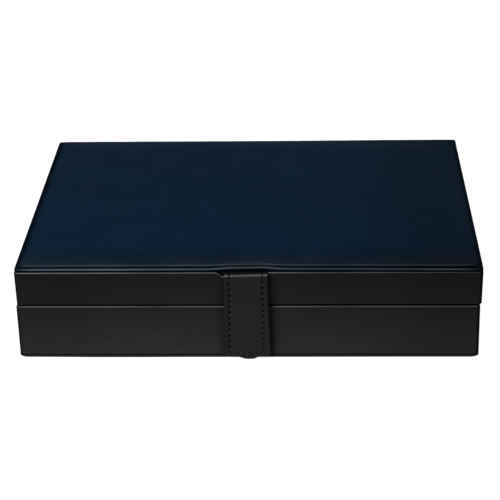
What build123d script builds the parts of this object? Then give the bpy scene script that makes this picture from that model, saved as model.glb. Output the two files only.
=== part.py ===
from build123d import *
from math import atan2, degrees
import os

# A leather-covered cufflink box: a base with a slotted tray, a drawer that slides out of the
# right-hand end, a hinged lid with a padded top panel, and a strap that hangs from under the
# panel's lip and holds to the front with a hidden magnet.
# X runs to the right, Y to the back, Z up, and the origin is the middle of the underside.

os.makedirs("parts", exist_ok=True)

# ---- Driving dimensions, in millimetres ----

# The covered outside
box_width = 290.0
box_depth = 234.0
base_height = 36.0  # table to the covered rim of the base
seam_gap = 0.6  # between the rims of base and lid
lid_wall_height = 22.2  # covered walls of the lid, rim to top
leather = 0.8  # covering of walls and drawer front
corner_round = 1.6  # upright corners
edge_round = 1.0  # covered rims

# Boards
wall = 6.0  # walls of the base
rail = 5.0  # walls of the lid
bottom_board = 3.0
tray_board = 2.5
lid_board = 3.0

# Underside
felt = 1.2
felt_proud = 0.4  # felt below the turned-in leather
turn_in = 12.0  # leather turned in under the bottom board
felt_margin = 0.5

# Tray
liner = 1.8  # suede-covered walls of the tray
neck = 4.0  # how far they stand above the rim
tray_depth = 10.6  # tray floor below the rim
divider = 2.4
divider_drop = 1.5  # dividers below the neck
side_bay = 88.0  # open bays to the right of the rolls
side_bays = 3
roll_count = 7
roll_height = 14.0
roll_gap = 1.4
roll_end_gap = 0.5
roll_foot_draw = 1.3  # a roll is drawn in at its foot on each side
roll_shoulder_draw = 3.2
roll_shoulder = 8.6  # height of the shoulder
roll_end_round = 1.2

# Drawer in the right-hand end
sill = 5.6  # top of the covered sill above the leather's lower edge
window_head = 0.4  # covered head of the window below the tray floor
window_side = 4.0  # covered side of the window from the wall's inner face
front_gap = 0.5  # around the drawer front
drawer_front = 6.0  # thickness of the covered drawer front
drawer_side = 3.0
drawer_floor = 1.5
drawer_play = 0.6  # beside the drawer box
ride_gap = 0.1  # drawer above its ledges
ledge = 4.0  # width of the ledges that it rides on
drawer_headroom = 2.2  # above the drawer's sides
catch_headroom = 0.4  # above the drawer's inner end
stop_width = 6.0
stop_clear = 0.4  # stop strip above the drawer's sides
stop_gap = 0.3  # left between catch and strip at full travel
drawer_travel = 200.0
drawer_back_gap = 5.2  # behind the closed drawer
lining = 0.5
lining_drop = 0.3
drawer_divider_drop = 1.0
long_bay = 62.0  # bay along the back of the drawer
drawer_bays = 3  # bays along the front
pull_width = 22.0
pull_thickness = 2.4
pull_reach = 8.0
pull_round = 4.0
pull_fit = 0.05

# Lid
lip = 0.5  # top panel past the walls
lip_round = 0.8
panel_gap = 0.8  # shadow gap between the walls and the panel
panel_card = 1.2
panel_leather = 0.6
panel_turn = 0.4  # turned-in leather under the panel
panel_turn_in = 10.0
panel_corner = 2.0
crown = 1.6  # padding
border = 3.4  # flat border round the padding
crown_slope = 1.4  # the padding's sloping edge
wall_turn_over = 8.0  # wall leather over the lid board
lid_lining = 0.6
lid_lining_drop = 0.2
lid_pad = 2.0
lid_pad_gap = 0.4
lid_pad_round = 0.8

# Strap
strap_width = 28.0
strap_offset = -0.7
strap_gap = 0.3
strap_drop = 0.4  # fold below the top of the wall
strap_outer_skin = 1.4
strap_lining_skin = 1.2
strap_tip = 0.5  # above the table
strap_tip_round = 4.6
strap_fold = 1.5  # outer leather turned over the top of the lining
strap_edge_round = 0.5
tongue = 1.2
tongue_length = 15.0
tongue_fit = 0.2
stitch_margin = 3.7
stitch_pitch = 3.9
stitch_length = 2.9
thread = 0.7
thread_height = 0.35
groove = 1.0
groove_depth = 0.3
first_stitch = 4.0  # below the fold
magnet_radius = 7.0
magnet = 1.2
magnet_fit = 0.05
magnet_height = 14.0
keeper_radius = 8.0
keeper = 1.2

# Hinges
hinge_from_end = 60.0  # middle of a hinge from the end of the box
leaf_length = 30.0
leaf = 1.0
leaf_inset = 0.1
leaf_gap = 0.2  # between closed leaves
barrel_radius = 1.8
barrel_gap = 0.2  # barrel behind the back wall
knuckle_gap = 0.1
pin_radius = 0.8
pin_press = 0.02
pin_running = 0.06
pin_head = 0.8
pin_head_radius = 1.4
screw_spacing = 20.0
screw_head_radius = 1.6
screw_radius = 0.9
screw_head = 0.7
screw_length = 7.0
screw_fit = 0.05
screw_slot = 0.4

# ---- Places worked out from them ----

half_width = box_width / 2
half_depth = box_depth / 2
board_x = half_width - leather  # outer faces of the boards
board_y = half_depth - leather
cavity_x = board_x - wall  # inner faces of the base walls
cavity_y = board_y - wall
skin_low = felt_proud
floor_low = felt
floor_top = floor_low + bottom_board
wall_top = base_height - leather
tray_top = base_height - tray_depth
tray_low = tray_top - tray_board
neck_top = base_height + neck
tray_x = cavity_x - liner
tray_y = cavity_y - liner
divider_top = neck_top - divider_drop

lid_low = base_height + seam_gap
lid_top = lid_low + lid_wall_height
rail_low = lid_low + leather
lid_board_top = lid_top - leather
lid_board_low = lid_board_top - lid_board
panel_low = lid_top + panel_gap
rail_x = board_x - rail
rail_y = board_y - rail

window_low = skin_low + sill
window_high = tray_low - window_head
window_y = cavity_y - window_side
front_y = window_y - front_gap
front_low = window_low + front_gap
front_high = window_high - front_gap
front_inner = half_width - drawer_front
drawer_low = window_low + ride_gap + front_gap / 2
drawer_y = front_y - drawer_play
guide_y = drawer_y + drawer_play
side_low = drawer_low + drawer_floor
side_top = tray_low - drawer_headroom
drawer_end = -cavity_x + drawer_back_gap
drawer_inside_x = drawer_end + drawer_side
drawer_inside_y = drawer_y - drawer_side
drawer_divider_low = side_low + lining
drawer_divider_top = side_top - drawer_divider_drop
stop_x = drawer_inside_x + drawer_travel + stop_gap
pull_z = (front_low + front_high) / 2

strap_thickness = strap_outer_skin + strap_lining_skin
strap_back = half_depth + strap_gap  # distance of each layer in front of the origin
strap_seam = strap_back + strap_lining_skin
strap_face = strap_back + strap_thickness
strap_axis_y = -(strap_back + strap_thickness / 2)
strap_axis_z = lid_top - strap_drop - strap_thickness / 2
lining_top = strap_axis_z - strap_fold
strap_x = (strap_offset - strap_width / 2, strap_offset + strap_width / 2)

pin_y = half_depth + barrel_gap + barrel_radius
pin_z = base_height + seam_gap / 2
base_leaf_z = (pin_z - leaf_gap / 2 - leaf, pin_z - leaf_gap / 2)
lid_leaf_z = (pin_z + leaf_gap / 2, pin_z + leaf_gap / 2 + leaf)
leaf_y = (rail_y + leaf_inset, half_depth)
screw_y = (rail_y + board_y) / 2
hinges = {"left": -half_width + hinge_from_end, "right": half_width - hinge_from_end}


# ---- Ways of building that several pieces share ----


def both(size):
    """The span from minus to plus the given half size."""
    return (-size, size)


def block(x, y, z, mode=Mode.ADD):
    """A block between the given limits, in the part being built."""
    with Locations(((x[0] + x[1]) / 2, (y[0] + y[1]) / 2, (z[0] + z[1]) / 2)):
        Box(x[1] - x[0], y[1] - y[0], z[1] - z[0], mode=mode)


def rod(x, y, z, radius, mode=Mode.ADD):
    """A rod along X between the limits x, about the line at y and z."""
    with BuildSketch(Plane.YZ.offset(x[0])) as end:
        with Locations((y, z)):
            Circle(radius)
    extrude(end.sketch, amount=x[1] - x[0], mode=mode)


def disc(y, radius, thickness, mode=Mode.ADD):
    """A disc behind the strap's magnet point, reaching forward from distance y in front."""
    with BuildSketch(Plane.XZ.offset(y)) as face:
        with Locations((strap_offset, magnet_height)):
            Circle(radius)
    extrude(face.sketch, amount=thickness, mode=mode)


def keep(piece, name):
    """Labels a finished piece and writes it."""
    piece.part.label = name
    export_step(piece.part, f"parts/{name}.step")


def board(name, x, y, z):
    """A plain board between the given limits, written as a piece."""
    with BuildPart() as piece:
        block(x, y, z)
    keep(piece, name)


def hinge_seats(z):
    """Takes out the leather where the hinge leaves lie on a rim, between the limits z."""
    for middle in hinges.values():
        reach = leaf_length / 2 + leaf_inset
        block((middle - reach, middle + reach), (leaf_y[0] - leaf_inset, half_depth), z, Mode.SUBTRACT)


def screw_points():
    """Where the hinge screws stand, along X."""
    return [middle + side * screw_spacing / 2 for middle in hinges.values() for side in (-1, 1)]


def pilot_holes(z):
    """Holes for the hinge screws' shanks between the limits z."""
    with Locations([(x, screw_y, (z[0] + z[1]) / 2) for x in screw_points()]):
        Cylinder(screw_radius + screw_fit, z[1] - z[0], mode=Mode.SUBTRACT)


# ---- Base: boards ----

board("base_bottom_board", both(board_x), both(board_y), (floor_low, floor_top))
board("base_left_board", (-board_x, -cavity_x), both(cavity_y), (floor_top, wall_top))

with BuildPart() as base_front_board:
    block(both(board_x), (-board_y, -cavity_y), (floor_top, wall_top))
    disc(board_y - keeper - magnet_fit, keeper_radius + magnet_fit, keeper + magnet_fit, Mode.SUBTRACT)
keep(base_front_board, "base_front_board")

with BuildPart() as base_back_board:
    block(both(board_x), (cavity_y, board_y), (floor_top, wall_top))
    pilot_holes((wall_top - screw_length, wall_top))
keep(base_back_board, "base_back_board")

with BuildPart() as base_right_board:
    block((cavity_x, board_x), both(cavity_y), (floor_top, wall_top))
    block(
        (cavity_x, board_x),
        both(window_y + leather),
        (window_low - leather, window_high + leather),
        Mode.SUBTRACT,
    )
keep(base_right_board, "base_right_board")

board("tray_floor_board", both(cavity_x), both(cavity_y), (tray_low, tray_top))

# ---- Base: leather and felt ----

with BuildPart() as base_leather:
    block(both(half_width), both(half_depth), (skin_low, base_height))
    fillet(base_leather.edges().filter_by(Axis.Z), corner_round)
    fillet(base_leather.faces().sort_by(Axis.Z)[-1].edges(), edge_round)
    fillet(base_leather.faces().sort_by(Axis.Z)[0].edges(), edge_round)
    block(both(board_x), both(board_y), (floor_low, wall_top), Mode.SUBTRACT)
    block(both(cavity_x), both(cavity_y), (wall_top, base_height), Mode.SUBTRACT)
    block(both(board_x - turn_in), both(board_y - turn_in), (skin_low, floor_low), Mode.SUBTRACT)
    block(  # turned through the drawer's window
        (cavity_x, half_width - leather),
        both(window_y + leather),
        (window_low - leather, window_high + leather),
    )
    block((cavity_x, half_width), both(window_y), (window_low, window_high), Mode.SUBTRACT)
    hinge_seats((wall_top, base_height))
keep(base_leather, "base_leather")

board(
    "underside_felt",
    both(board_x - turn_in - felt_margin),
    both(board_y - turn_in - felt_margin),
    (0, floor_low),
)

# ---- Base: tray ----


def tray_wall(name, x, y):
    """A suede-covered wall of the tray, with its top edge rounded over."""
    with BuildPart() as piece:
        block(x, y, (tray_top, neck_top))
        along = Axis.X if x[1] - x[0] > y[1] - y[0] else Axis.Y
        fillet(piece.faces().sort_by(Axis.Z)[-1].edges().filter_by(along), liner * 0.4)
    keep(piece, name)


tray_wall("tray_wall_front", both(cavity_x), (-cavity_y, -tray_y))
tray_wall("tray_wall_back", both(cavity_x), (tray_y, cavity_y))
tray_wall("tray_wall_left", (-cavity_x, -tray_x), both(tray_y))
tray_wall("tray_wall_right", (tray_x, cavity_x), both(tray_y))

bay_x = (tray_x - side_bay, tray_x)
roll_end = bay_x[0] - divider
board("tray_divider_long", (roll_end, bay_x[0]), both(tray_y), (tray_top, divider_top))

bay_pitch = (2 * tray_y + divider) / side_bays
with BuildPart() as tray_cross_dividers:
    for number in range(1, side_bays):
        low = -tray_y - divider + number * bay_pitch
        block(bay_x, (low, low + divider), (tray_top, divider_top))
keep(tray_cross_dividers, "tray_cross_dividers")

# ---- Base: cufflink rolls ----

roll_pitch = 2 * tray_y / roll_count
roll_half = (roll_pitch - roll_gap) / 2
roll_x = (-tray_x + roll_end_gap, roll_end - roll_end_gap)


def cufflink_roll(name, middle):
    """A foam roll with drawn-in foot, swollen sides and a crown, centred on middle along Y."""
    foot = roll_half - roll_foot_draw
    shoulder = roll_half - roll_shoulder_draw
    shoulder_z = tray_top + roll_shoulder
    with BuildPart() as piece:
        with BuildSketch(Plane.YZ.offset(roll_x[0])):
            with BuildLine():
                Line((middle - foot, tray_top), (middle + foot, tray_top))
                ThreePointArc(
                    (middle + foot, tray_top),
                    (middle + roll_half, tray_top + roll_shoulder / 2),
                    (middle + shoulder, shoulder_z),
                )
                ThreePointArc(
                    (middle + shoulder, shoulder_z),
                    (middle, tray_top + roll_height),
                    (middle - shoulder, shoulder_z),
                )
                ThreePointArc(
                    (middle - shoulder, shoulder_z),
                    (middle - roll_half, tray_top + roll_shoulder / 2),
                    (middle - foot, tray_top),
                )
            make_face()
        extrude(amount=roll_x[1] - roll_x[0])
        ends = piece.faces().filter_by(Plane.YZ)
        chamfer(ends.edges().group_by(Axis.Z)[-1], roll_end_round)
    keep(piece, name)


for number in range(roll_count):
    cufflink_roll(f"cufflink_roll_{number + 1}", -tray_y + (number + 0.5) * roll_pitch)

# ---- Base: drawer guides, stop and magnet keeper ----


def drawer_guide(name, side):
    """A strip beside the drawer, with the ledge that it rides on; side is -1 or 1 along Y."""
    wide = sorted((side * guide_y, side * cavity_y))
    foot = sorted((side * (drawer_y - ledge), side * cavity_y))
    with BuildPart() as piece:
        block(both(cavity_x), wide, (floor_top, tray_low))
        block(both(cavity_x), foot, (floor_top, drawer_low - ride_gap))
    keep(piece, name)


drawer_guide("drawer_guide_front", -1)
drawer_guide("drawer_guide_back", 1)
board(
    "drawer_stop_strip",
    (stop_x, stop_x + stop_width),
    both(guide_y),
    (side_top + stop_clear, tray_low),
)

with BuildPart() as strap_keeper:
    disc(board_y - keeper, keeper_radius, keeper)
keep(strap_keeper, "strap_keeper")

# ---- Hinges ----


def hinge_leaf(name, middle, z, knuckles):
    """A leaf between the limits z with its knuckles on the pin, given along X from middle."""
    bore = pin_radius + (pin_press if "base" in name else pin_running)
    with BuildPart() as piece:
        block((middle - leaf_length / 2, middle + leaf_length / 2), leaf_y, z)
        for low, high in knuckles:
            span = (middle + low, middle + high)
            block(span, (half_depth, pin_y), z)
            rod(span, pin_y, pin_z, barrel_radius)
            rod(span, pin_y, pin_z, bore, Mode.SUBTRACT)
    return piece


def screws(grow, up):
    """The hinge screws of one pair of leaves, heads at the seam, larger by grow all round."""
    way = 1 if up else -1
    head = pin_z + way * leaf_gap / 2
    narrow = (screw_radius + grow, screw_head_radius + grow)
    with BuildPart() as piece:
        for x in screw_points():
            with Locations((x, screw_y, head + way * screw_head / 2)):
                if up:
                    Cone(narrow[1], narrow[0], screw_head)
                else:
                    Cone(narrow[0], narrow[1], screw_head)
            with Locations((x, screw_y, head + way * (screw_head + screw_length) / 2)):
                Cylinder(narrow[0], screw_length - screw_head)
        if not grow:
            with Locations([(x, screw_y, head) for x in screw_points()]):
                Box(2 * screw_head_radius, screw_slot, screw_slot, mode=Mode.SUBTRACT)
    return piece


knuckle_end = leaf_length / 6
outer_knuckles = [
    (-leaf_length / 2, -knuckle_end - knuckle_gap),
    (knuckle_end + knuckle_gap, leaf_length / 2),
]
base_screw_room = screws(screw_fit, False)
lid_screw_room = screws(screw_fit, True)

for side, middle in hinges.items():
    base_leaf = hinge_leaf(f"hinge_{side}_base_leaf", middle, base_leaf_z, outer_knuckles)
    lid_leaf = hinge_leaf(f"hinge_{side}_lid_leaf", middle, lid_leaf_z, [both(knuckle_end)])
    with base_leaf:
        add(base_screw_room.part, mode=Mode.SUBTRACT)
    with lid_leaf:
        add(lid_screw_room.part, mode=Mode.SUBTRACT)
    keep(base_leaf, f"hinge_{side}_base_leaf")
    keep(lid_leaf, f"hinge_{side}_lid_leaf")
    with BuildPart() as pin:
        reach = leaf_length / 2
        rod((middle - reach, middle + reach), pin_y, pin_z, pin_radius)
        rod((middle - reach - pin_head, middle - reach), pin_y, pin_z, pin_head_radius)
        rod((middle + reach, middle + reach + pin_head), pin_y, pin_z, pin_head_radius)
    keep(pin, f"hinge_{side}_pin")

keep(screws(0, False), "hinge_base_screws")
keep(screws(0, True), "hinge_lid_screws")

# ---- Lid: boards ----

board("lid_front_rail", both(board_x), (-board_y, -rail_y), (rail_low, lid_board_low))
board("lid_left_rail", (-board_x, -rail_x), both(rail_y), (rail_low, lid_board_low))
board("lid_right_rail", (rail_x, board_x), both(rail_y), (rail_low, lid_board_low))

with BuildPart() as lid_back_rail:
    block(both(board_x), (rail_y, board_y), (rail_low, lid_board_low))
    pilot_holes((rail_low, rail_low + screw_length))
keep(lid_back_rail, "lid_back_rail")

tongue_x = (strap_x[0] - tongue_fit, strap_x[1] + tongue_fit)
tongue_y = (-half_depth, -board_y + tongue_length)
with BuildPart() as lid_top_board:
    block(both(board_x), both(board_y), (lid_board_low, lid_board_top))
    block(
        both(board_x - wall_turn_over),
        both(board_y - wall_turn_over),
        (lid_board_top, panel_low),
    )
    block(tongue_x, tongue_y, (panel_low - tongue, panel_low), Mode.SUBTRACT)
keep(lid_top_board, "lid_top_board")

# ---- Lid: leather and lining ----

with BuildPart() as lid_wall_leather:
    block(both(half_width), both(half_depth), (lid_low, lid_top))
    fillet(lid_wall_leather.edges().filter_by(Axis.Z), corner_round)
    fillet(lid_wall_leather.faces().sort_by(Axis.Z)[-1].edges(), edge_round)
    fillet(lid_wall_leather.faces().sort_by(Axis.Z)[0].edges(), edge_round)
    block(both(board_x), both(board_y), (rail_low, lid_board_top), Mode.SUBTRACT)
    block(both(rail_x), both(rail_y), (lid_low, rail_low), Mode.SUBTRACT)
    block(
        both(board_x - wall_turn_over),
        both(board_y - wall_turn_over),
        (lid_board_top, lid_top),
        Mode.SUBTRACT,
    )
    block(tongue_x, tongue_y, (panel_low - tongue, lid_top), Mode.SUBTRACT)
    hinge_seats((lid_low, rail_low))
keep(lid_wall_leather, "lid_wall_leather")

with BuildPart() as lid_wall_lining:
    block(both(rail_x), both(rail_y), (lid_low + lid_lining_drop, lid_board_low))
    block(
        both(rail_x - lid_lining),
        both(rail_y - lid_lining),
        (lid_low, lid_board_low),
        Mode.SUBTRACT,
    )
keep(lid_wall_lining, "lid_wall_lining")

pad_x = rail_x - lid_lining - lid_pad_gap
pad_y = rail_y - lid_lining - lid_pad_gap
with BuildPart() as lid_lining_pad:
    block(both(pad_x), both(pad_y), (lid_board_low - lid_pad, lid_board_low))
    fillet(lid_lining_pad.faces().sort_by(Axis.Z)[0].edges(), lid_pad_round)
keep(lid_lining_pad, "lid_lining_pad")

# ---- Lid: padded top panel ----

panel_x = half_width + lip
panel_y = half_depth + lip
card_low = panel_low + panel_turn
card_top = panel_low + panel_card
panel_rim = card_top + panel_leather


def padding(low, inset, slope, rise):
    """The raised field of the panel, standing rise above low, with its edge sloping by slope."""
    with BuildSketch(Plane.XY.offset(low)) as foot:
        Rectangle(2 * (panel_x - inset), 2 * (panel_y - inset))
    extrude(foot.sketch, amount=rise, taper=degrees(atan2(slope, rise)))


with BuildPart() as top_panel_card:
    block(both(panel_x - panel_leather), both(panel_y - panel_leather), (card_low, card_top))
    fillet(top_panel_card.edges().filter_by(Axis.Z), panel_corner - panel_leather)
    block(both(panel_x - panel_turn_in), both(panel_y - panel_turn_in), (panel_low, card_low))
keep(top_panel_card, "top_panel_card")

with BuildPart() as top_panel_foam:
    padding(card_top, border + panel_leather, crown_slope, crown)
keep(top_panel_foam, "top_panel_foam")

with BuildPart() as top_panel_leather:
    block(both(panel_x), both(panel_y), (panel_low, panel_rim))
    fillet(top_panel_leather.edges().filter_by(Axis.Z), panel_corner)
    fillet(top_panel_leather.faces().sort_by(Axis.Z)[-1].edges(), lip_round)
    fillet(top_panel_leather.faces().sort_by(Axis.Z)[0].edges(), lip_round)
    padding(panel_rim, border, crown_slope, crown)
    add(top_panel_card.part, mode=Mode.SUBTRACT)
    add(top_panel_foam.part, mode=Mode.SUBTRACT)
keep(top_panel_leather, "top_panel_leather")

board(
    "strap_tongue",
    strap_x,
    (-half_depth, -board_y + tongue_length - tongue_fit),
    (panel_low - tongue, panel_low),
)

# ---- Strap ----


def strap_outline(sketch, inset, top):
    """The strap's outline with rounded lower corners, inset all round, reaching up to top."""
    low = strap_tip + inset
    with Locations((strap_offset, (low + top) / 2)):
        Rectangle(strap_width - 2 * inset, top - low)
    fillet(sketch.vertices().group_by(Axis.Y)[0], strap_tip_round - inset)


with BuildPart() as strap_outer_leather:
    with BuildSketch(Plane.XZ.offset(strap_back)) as outline:
        strap_outline(outline, 0, strap_axis_z)
    extrude(amount=strap_thickness)
    rod(strap_x, strap_axis_y, strap_axis_z, strap_thickness / 2)
    block(strap_x, (-strap_seam, -strap_back), (strap_tip, lining_top), Mode.SUBTRACT)
    face_edges = strap_outer_leather.faces().sort_by(Axis.Y)[0].edges()
    fillet(face_edges.sort_by(Axis.Z)[:-1], strap_edge_round)
    with BuildSketch(Plane.XZ.offset(strap_face - groove_depth)):
        with BuildSketch(mode=Mode.PRIVATE) as groove_outside:
            strap_outline(groove_outside, stitch_margin - groove / 2, lid_top)
        with BuildSketch(mode=Mode.PRIVATE) as groove_inside:
            strap_outline(groove_inside, stitch_margin + groove / 2, lid_top + groove)
        add(groove_outside.sketch)
        add(groove_inside.sketch, mode=Mode.SUBTRACT)
    extrude(amount=strap_thickness, mode=Mode.SUBTRACT)
    disc(strap_seam, magnet_radius + magnet_fit, magnet / 2, Mode.SUBTRACT)
keep(strap_outer_leather, "strap_outer_leather")

with BuildPart() as strap_lining_leather:
    with BuildSketch(Plane.XZ.offset(strap_back)) as lining_outline:
        strap_outline(lining_outline, 0, lining_top)
    extrude(amount=strap_lining_skin)
    disc(strap_seam - magnet / 2, magnet_radius + magnet_fit, magnet / 2, Mode.SUBTRACT)
keep(strap_lining_leather, "strap_lining_leather")

with BuildPart() as strap_magnet:
    disc(strap_seam - magnet / 2, magnet_radius, magnet)
keep(strap_magnet, "strap_magnet")

stitch_y = -(strap_face - groove_depth) - thread_height / 2
stitch_line = strap_width / 2 - stitch_margin
highest_stitch = strap_axis_z - first_stitch
side_run = highest_stitch - strap_tip - strap_tip_round
side_stitches = int(side_run // stitch_pitch) + 1
tip_stitches = int((strap_width - 2 * strap_tip_round) // stitch_pitch)
with BuildPart() as strap_stitches:
    for side in (-1, 1):
        for number in range(side_stitches):
            z = highest_stitch - number * stitch_pitch
            with Locations((strap_offset + side * stitch_line, stitch_y, z)):
                Box(thread, thread_height, stitch_length)
    for number in range(tip_stitches):
        x = strap_offset + (number - (tip_stitches - 1) / 2) * stitch_pitch
        with Locations((x, stitch_y, strap_tip + stitch_margin)):
            Box(stitch_length, thread_height, thread)
keep(strap_stitches, "strap_stitches")

# ---- Drawer ----

pull_slot_y = pull_width / 2 + pull_fit
pull_slot_z = pull_thickness / 2 + pull_fit

with BuildPart() as drawer_front_leather:
    block((front_inner, half_width), both(front_y), (front_low, front_high))
    fillet(drawer_front_leather.faces().sort_by(Axis.X)[-1].edges(), leather)
    block(
        (front_inner, board_x),
        both(front_y - leather),
        (front_low + leather, front_high - leather),
        Mode.SUBTRACT,
    )
    block(
        (board_x, half_width),
        both(pull_slot_y),
        (pull_z - pull_slot_z, pull_z + pull_slot_z),
        Mode.SUBTRACT,
    )
keep(drawer_front_leather, "drawer_front_leather")

board(
    "drawer_front_board",
    (front_inner, board_x),
    both(front_y - leather),
    (front_low + leather, front_high - leather),
)

with BuildPart() as drawer_pull:
    with BuildSketch(Plane.XY.offset(pull_z - pull_thickness / 2)) as pull_outline:
        with Locations(((board_x + half_width + pull_reach) / 2, 0)):
            Rectangle(leather + pull_reach, pull_width)
        fillet(pull_outline.vertices().group_by(Axis.X)[-1], pull_round)
    extrude(amount=pull_thickness)
    nose = drawer_pull.faces().sort_by(Axis.Z)
    rims = nose[0].edges() + nose[-1].edges()
    fillet(rims.filter_by(GeomType.CIRCLE) + rims.group_by(Axis.X)[-1], pull_thickness * 0.4)
keep(drawer_pull, "drawer_pull")

board(
    "drawer_bottom",
    (drawer_end, front_inner),
    both(drawer_y),
    (drawer_low, side_low),
)
board(
    "drawer_side_front",
    (drawer_end, front_inner),
    (-drawer_y, -drawer_inside_y),
    (side_low, side_top),
)
board(
    "drawer_side_back",
    (drawer_end, front_inner),
    (drawer_inside_y, drawer_y),
    (side_low, side_top),
)
board(
    "drawer_inner_end",
    (drawer_end, drawer_inside_x),
    both(drawer_inside_y),
    (side_low, tray_low - catch_headroom),
)

lined_x = (drawer_inside_x + lining, front_inner - lining)
lined_y = drawer_inside_y - lining
with BuildPart() as drawer_lining:
    block((drawer_inside_x, front_inner), both(drawer_inside_y), (side_low, side_top - lining_drop))
    block(lined_x, both(lined_y), (drawer_divider_low, side_top), Mode.SUBTRACT)
keep(drawer_lining, "drawer_lining")

long_divider_y = (lined_y - long_bay - divider, lined_y - long_bay)
board(
    "drawer_divider_long",
    lined_x,
    long_divider_y,
    (drawer_divider_low, drawer_divider_top),
)

drawer_bay_pitch = (lined_x[1] - lined_x[0] + divider) / drawer_bays
with BuildPart() as drawer_cross_dividers:
    for number in range(1, drawer_bays):
        low = lined_x[0] - divider + number * drawer_bay_pitch
        block(
            (low, low + divider),
            (-lined_y, long_divider_y[0]),
            (drawer_divider_low, drawer_divider_top),
        )
keep(drawer_cross_dividers, "drawer_cross_dividers")

print("lid hinge axis", pin_y, pin_z)
print("strap hinge axis", strap_axis_y, strap_axis_z)
print("tray", tray_x, tray_y, tray_top, neck_top, "bays from", bay_x[0], "rolls to", roll_end)
print("lid hollow", pad_x, pad_y, lid_low, lid_board_low - lid_pad)
print("drawer inside", lined_x, lined_y, drawer_divider_low, side_top, long_divider_y)
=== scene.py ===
import math
import bpy
import bmesh
from mathutils import Matrix, Vector, noise


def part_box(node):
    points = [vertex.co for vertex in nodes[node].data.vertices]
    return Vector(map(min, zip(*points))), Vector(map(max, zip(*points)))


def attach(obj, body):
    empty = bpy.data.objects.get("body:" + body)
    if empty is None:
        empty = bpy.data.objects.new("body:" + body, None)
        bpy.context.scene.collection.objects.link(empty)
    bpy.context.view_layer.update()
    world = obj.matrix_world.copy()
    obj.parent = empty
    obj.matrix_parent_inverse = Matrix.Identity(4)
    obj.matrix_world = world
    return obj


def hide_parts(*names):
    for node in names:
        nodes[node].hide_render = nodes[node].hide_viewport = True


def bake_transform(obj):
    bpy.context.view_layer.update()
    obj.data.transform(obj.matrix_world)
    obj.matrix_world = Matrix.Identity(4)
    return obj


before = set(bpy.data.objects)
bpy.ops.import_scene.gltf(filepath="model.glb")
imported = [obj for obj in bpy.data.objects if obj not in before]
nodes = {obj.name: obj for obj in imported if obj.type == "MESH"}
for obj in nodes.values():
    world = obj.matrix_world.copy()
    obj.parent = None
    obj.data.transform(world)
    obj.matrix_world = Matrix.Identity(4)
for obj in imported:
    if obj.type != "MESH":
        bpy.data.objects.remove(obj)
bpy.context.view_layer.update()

# ---- The photographer's table ----
# The box stands on white card in a dim room. A softbox hangs over it in front and to the left, and
# catches its rounded edges; a weaker one lights the back and the right-hand end. Behind the
# table the room is white.

TABLE_HALF = 9.0
CARD_WHITE, CARD_REACH = "C8C8C6", 0.15
TABLE_SHADE = "8A8A89"
TABLE_SEEN, TABLE_GLOW = "7A7A7A", 0.93  # where the camera sees it, it is white
BOX_HALF = (0.145, 0.117, 0)
SOFTBOX = {"size": (0.56, 0.34), "place": (-0.62, -0.56, 0.58), "aim": (0, 0, 0.03), "watts": 11.5}
BACK_LIGHT = {"size": (0.5, 0.35), "place": (0.7, 0.5, 0.6), "aim": (0, 0.05, 0.03), "watts": 5.5}
ROOM_LEVEL, ROOM_OVERHEAD = 0.012, 0.3
OVERHEAD_FROM = 0.45  # how steep a direction is, as its sine, where the room gets brighter
WALL_TOP, WALL_WHITE = 0.15, 0.10  # the white wall behind the table fades in between these


def dyed(colour):
    """An sRGB hex colour as linear red, green, blue and alpha."""
    parts = [int(colour[k : k + 2], 16) / 255 for k in (0, 2, 4)]
    return [p / 12.92 if p <= 0.04045 else ((p + 0.055) / 1.055) ** 2.4 for p in parts] + [1]


def add_node(tree, kind, inputs=None, **settings):
    """Adds a node with its settings; an input is a value, or the socket that feeds it."""
    made = tree.nodes.new(kind)
    for name, value in settings.items():
        setattr(made, name, value)
    for name, value in (inputs or {}).items():
        if isinstance(value, bpy.types.NodeSocket):
            tree.links.new(value, made.inputs[name])
        else:
            made.inputs[name].default_value = value
    return made


def combined(tree, operation, first, second):
    """The outcome of arithmetic on two values or sockets."""
    return add_node(tree, "ShaderNodeMath", {0: first, 1: second}, operation=operation).outputs[0]


def vector_math(tree, operation, first, second=(0, 0, 0)):
    """The outcome of arithmetic on two vectors."""
    made = add_node(tree, "ShaderNodeVectorMath", {0: first, 1: second}, operation=operation)
    return made.outputs["Value" if operation == "LENGTH" else "Vector"]


def carried(tree, value, start, end, low=0.0, high=1.0, shape="LINEAR"):
    """A value that goes from low to high while another goes from start to end."""
    ranges = {"Value": value, "From Min": start, "From Max": end, "To Min": low, "To Max": high}
    return add_node(tree, "ShaderNodeMapRange", ranges, interpolation_type=shape).outputs[0]


def mixed(tree, share, first, second, way="MIX"):
    """A colour mixed of two."""
    colours = {"Factor": share, "A": first, "B": second}
    made = add_node(tree, "ShaderNodeMix", colours, data_type="RGBA", blend_type=way)
    return made.outputs["Result"]


def seen_or_mirrored(tree):
    """One for the rays of the camera, of gloss and of glass, and nought for the rest."""
    path = add_node(tree, "ShaderNodeLightPath").outputs
    first = combined(tree, "MAXIMUM", path["Is Camera Ray"], path["Is Transmission Ray"])
    return combined(tree, "MAXIMUM", first, path["Is Glossy Ray"])


def in_scene(name, data):
    """A new object in the scene, of a mesh, a lamp or a camera."""
    made = bpy.data.objects.new(name, data)
    bpy.context.scene.collection.objects.link(made)
    return made


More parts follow.
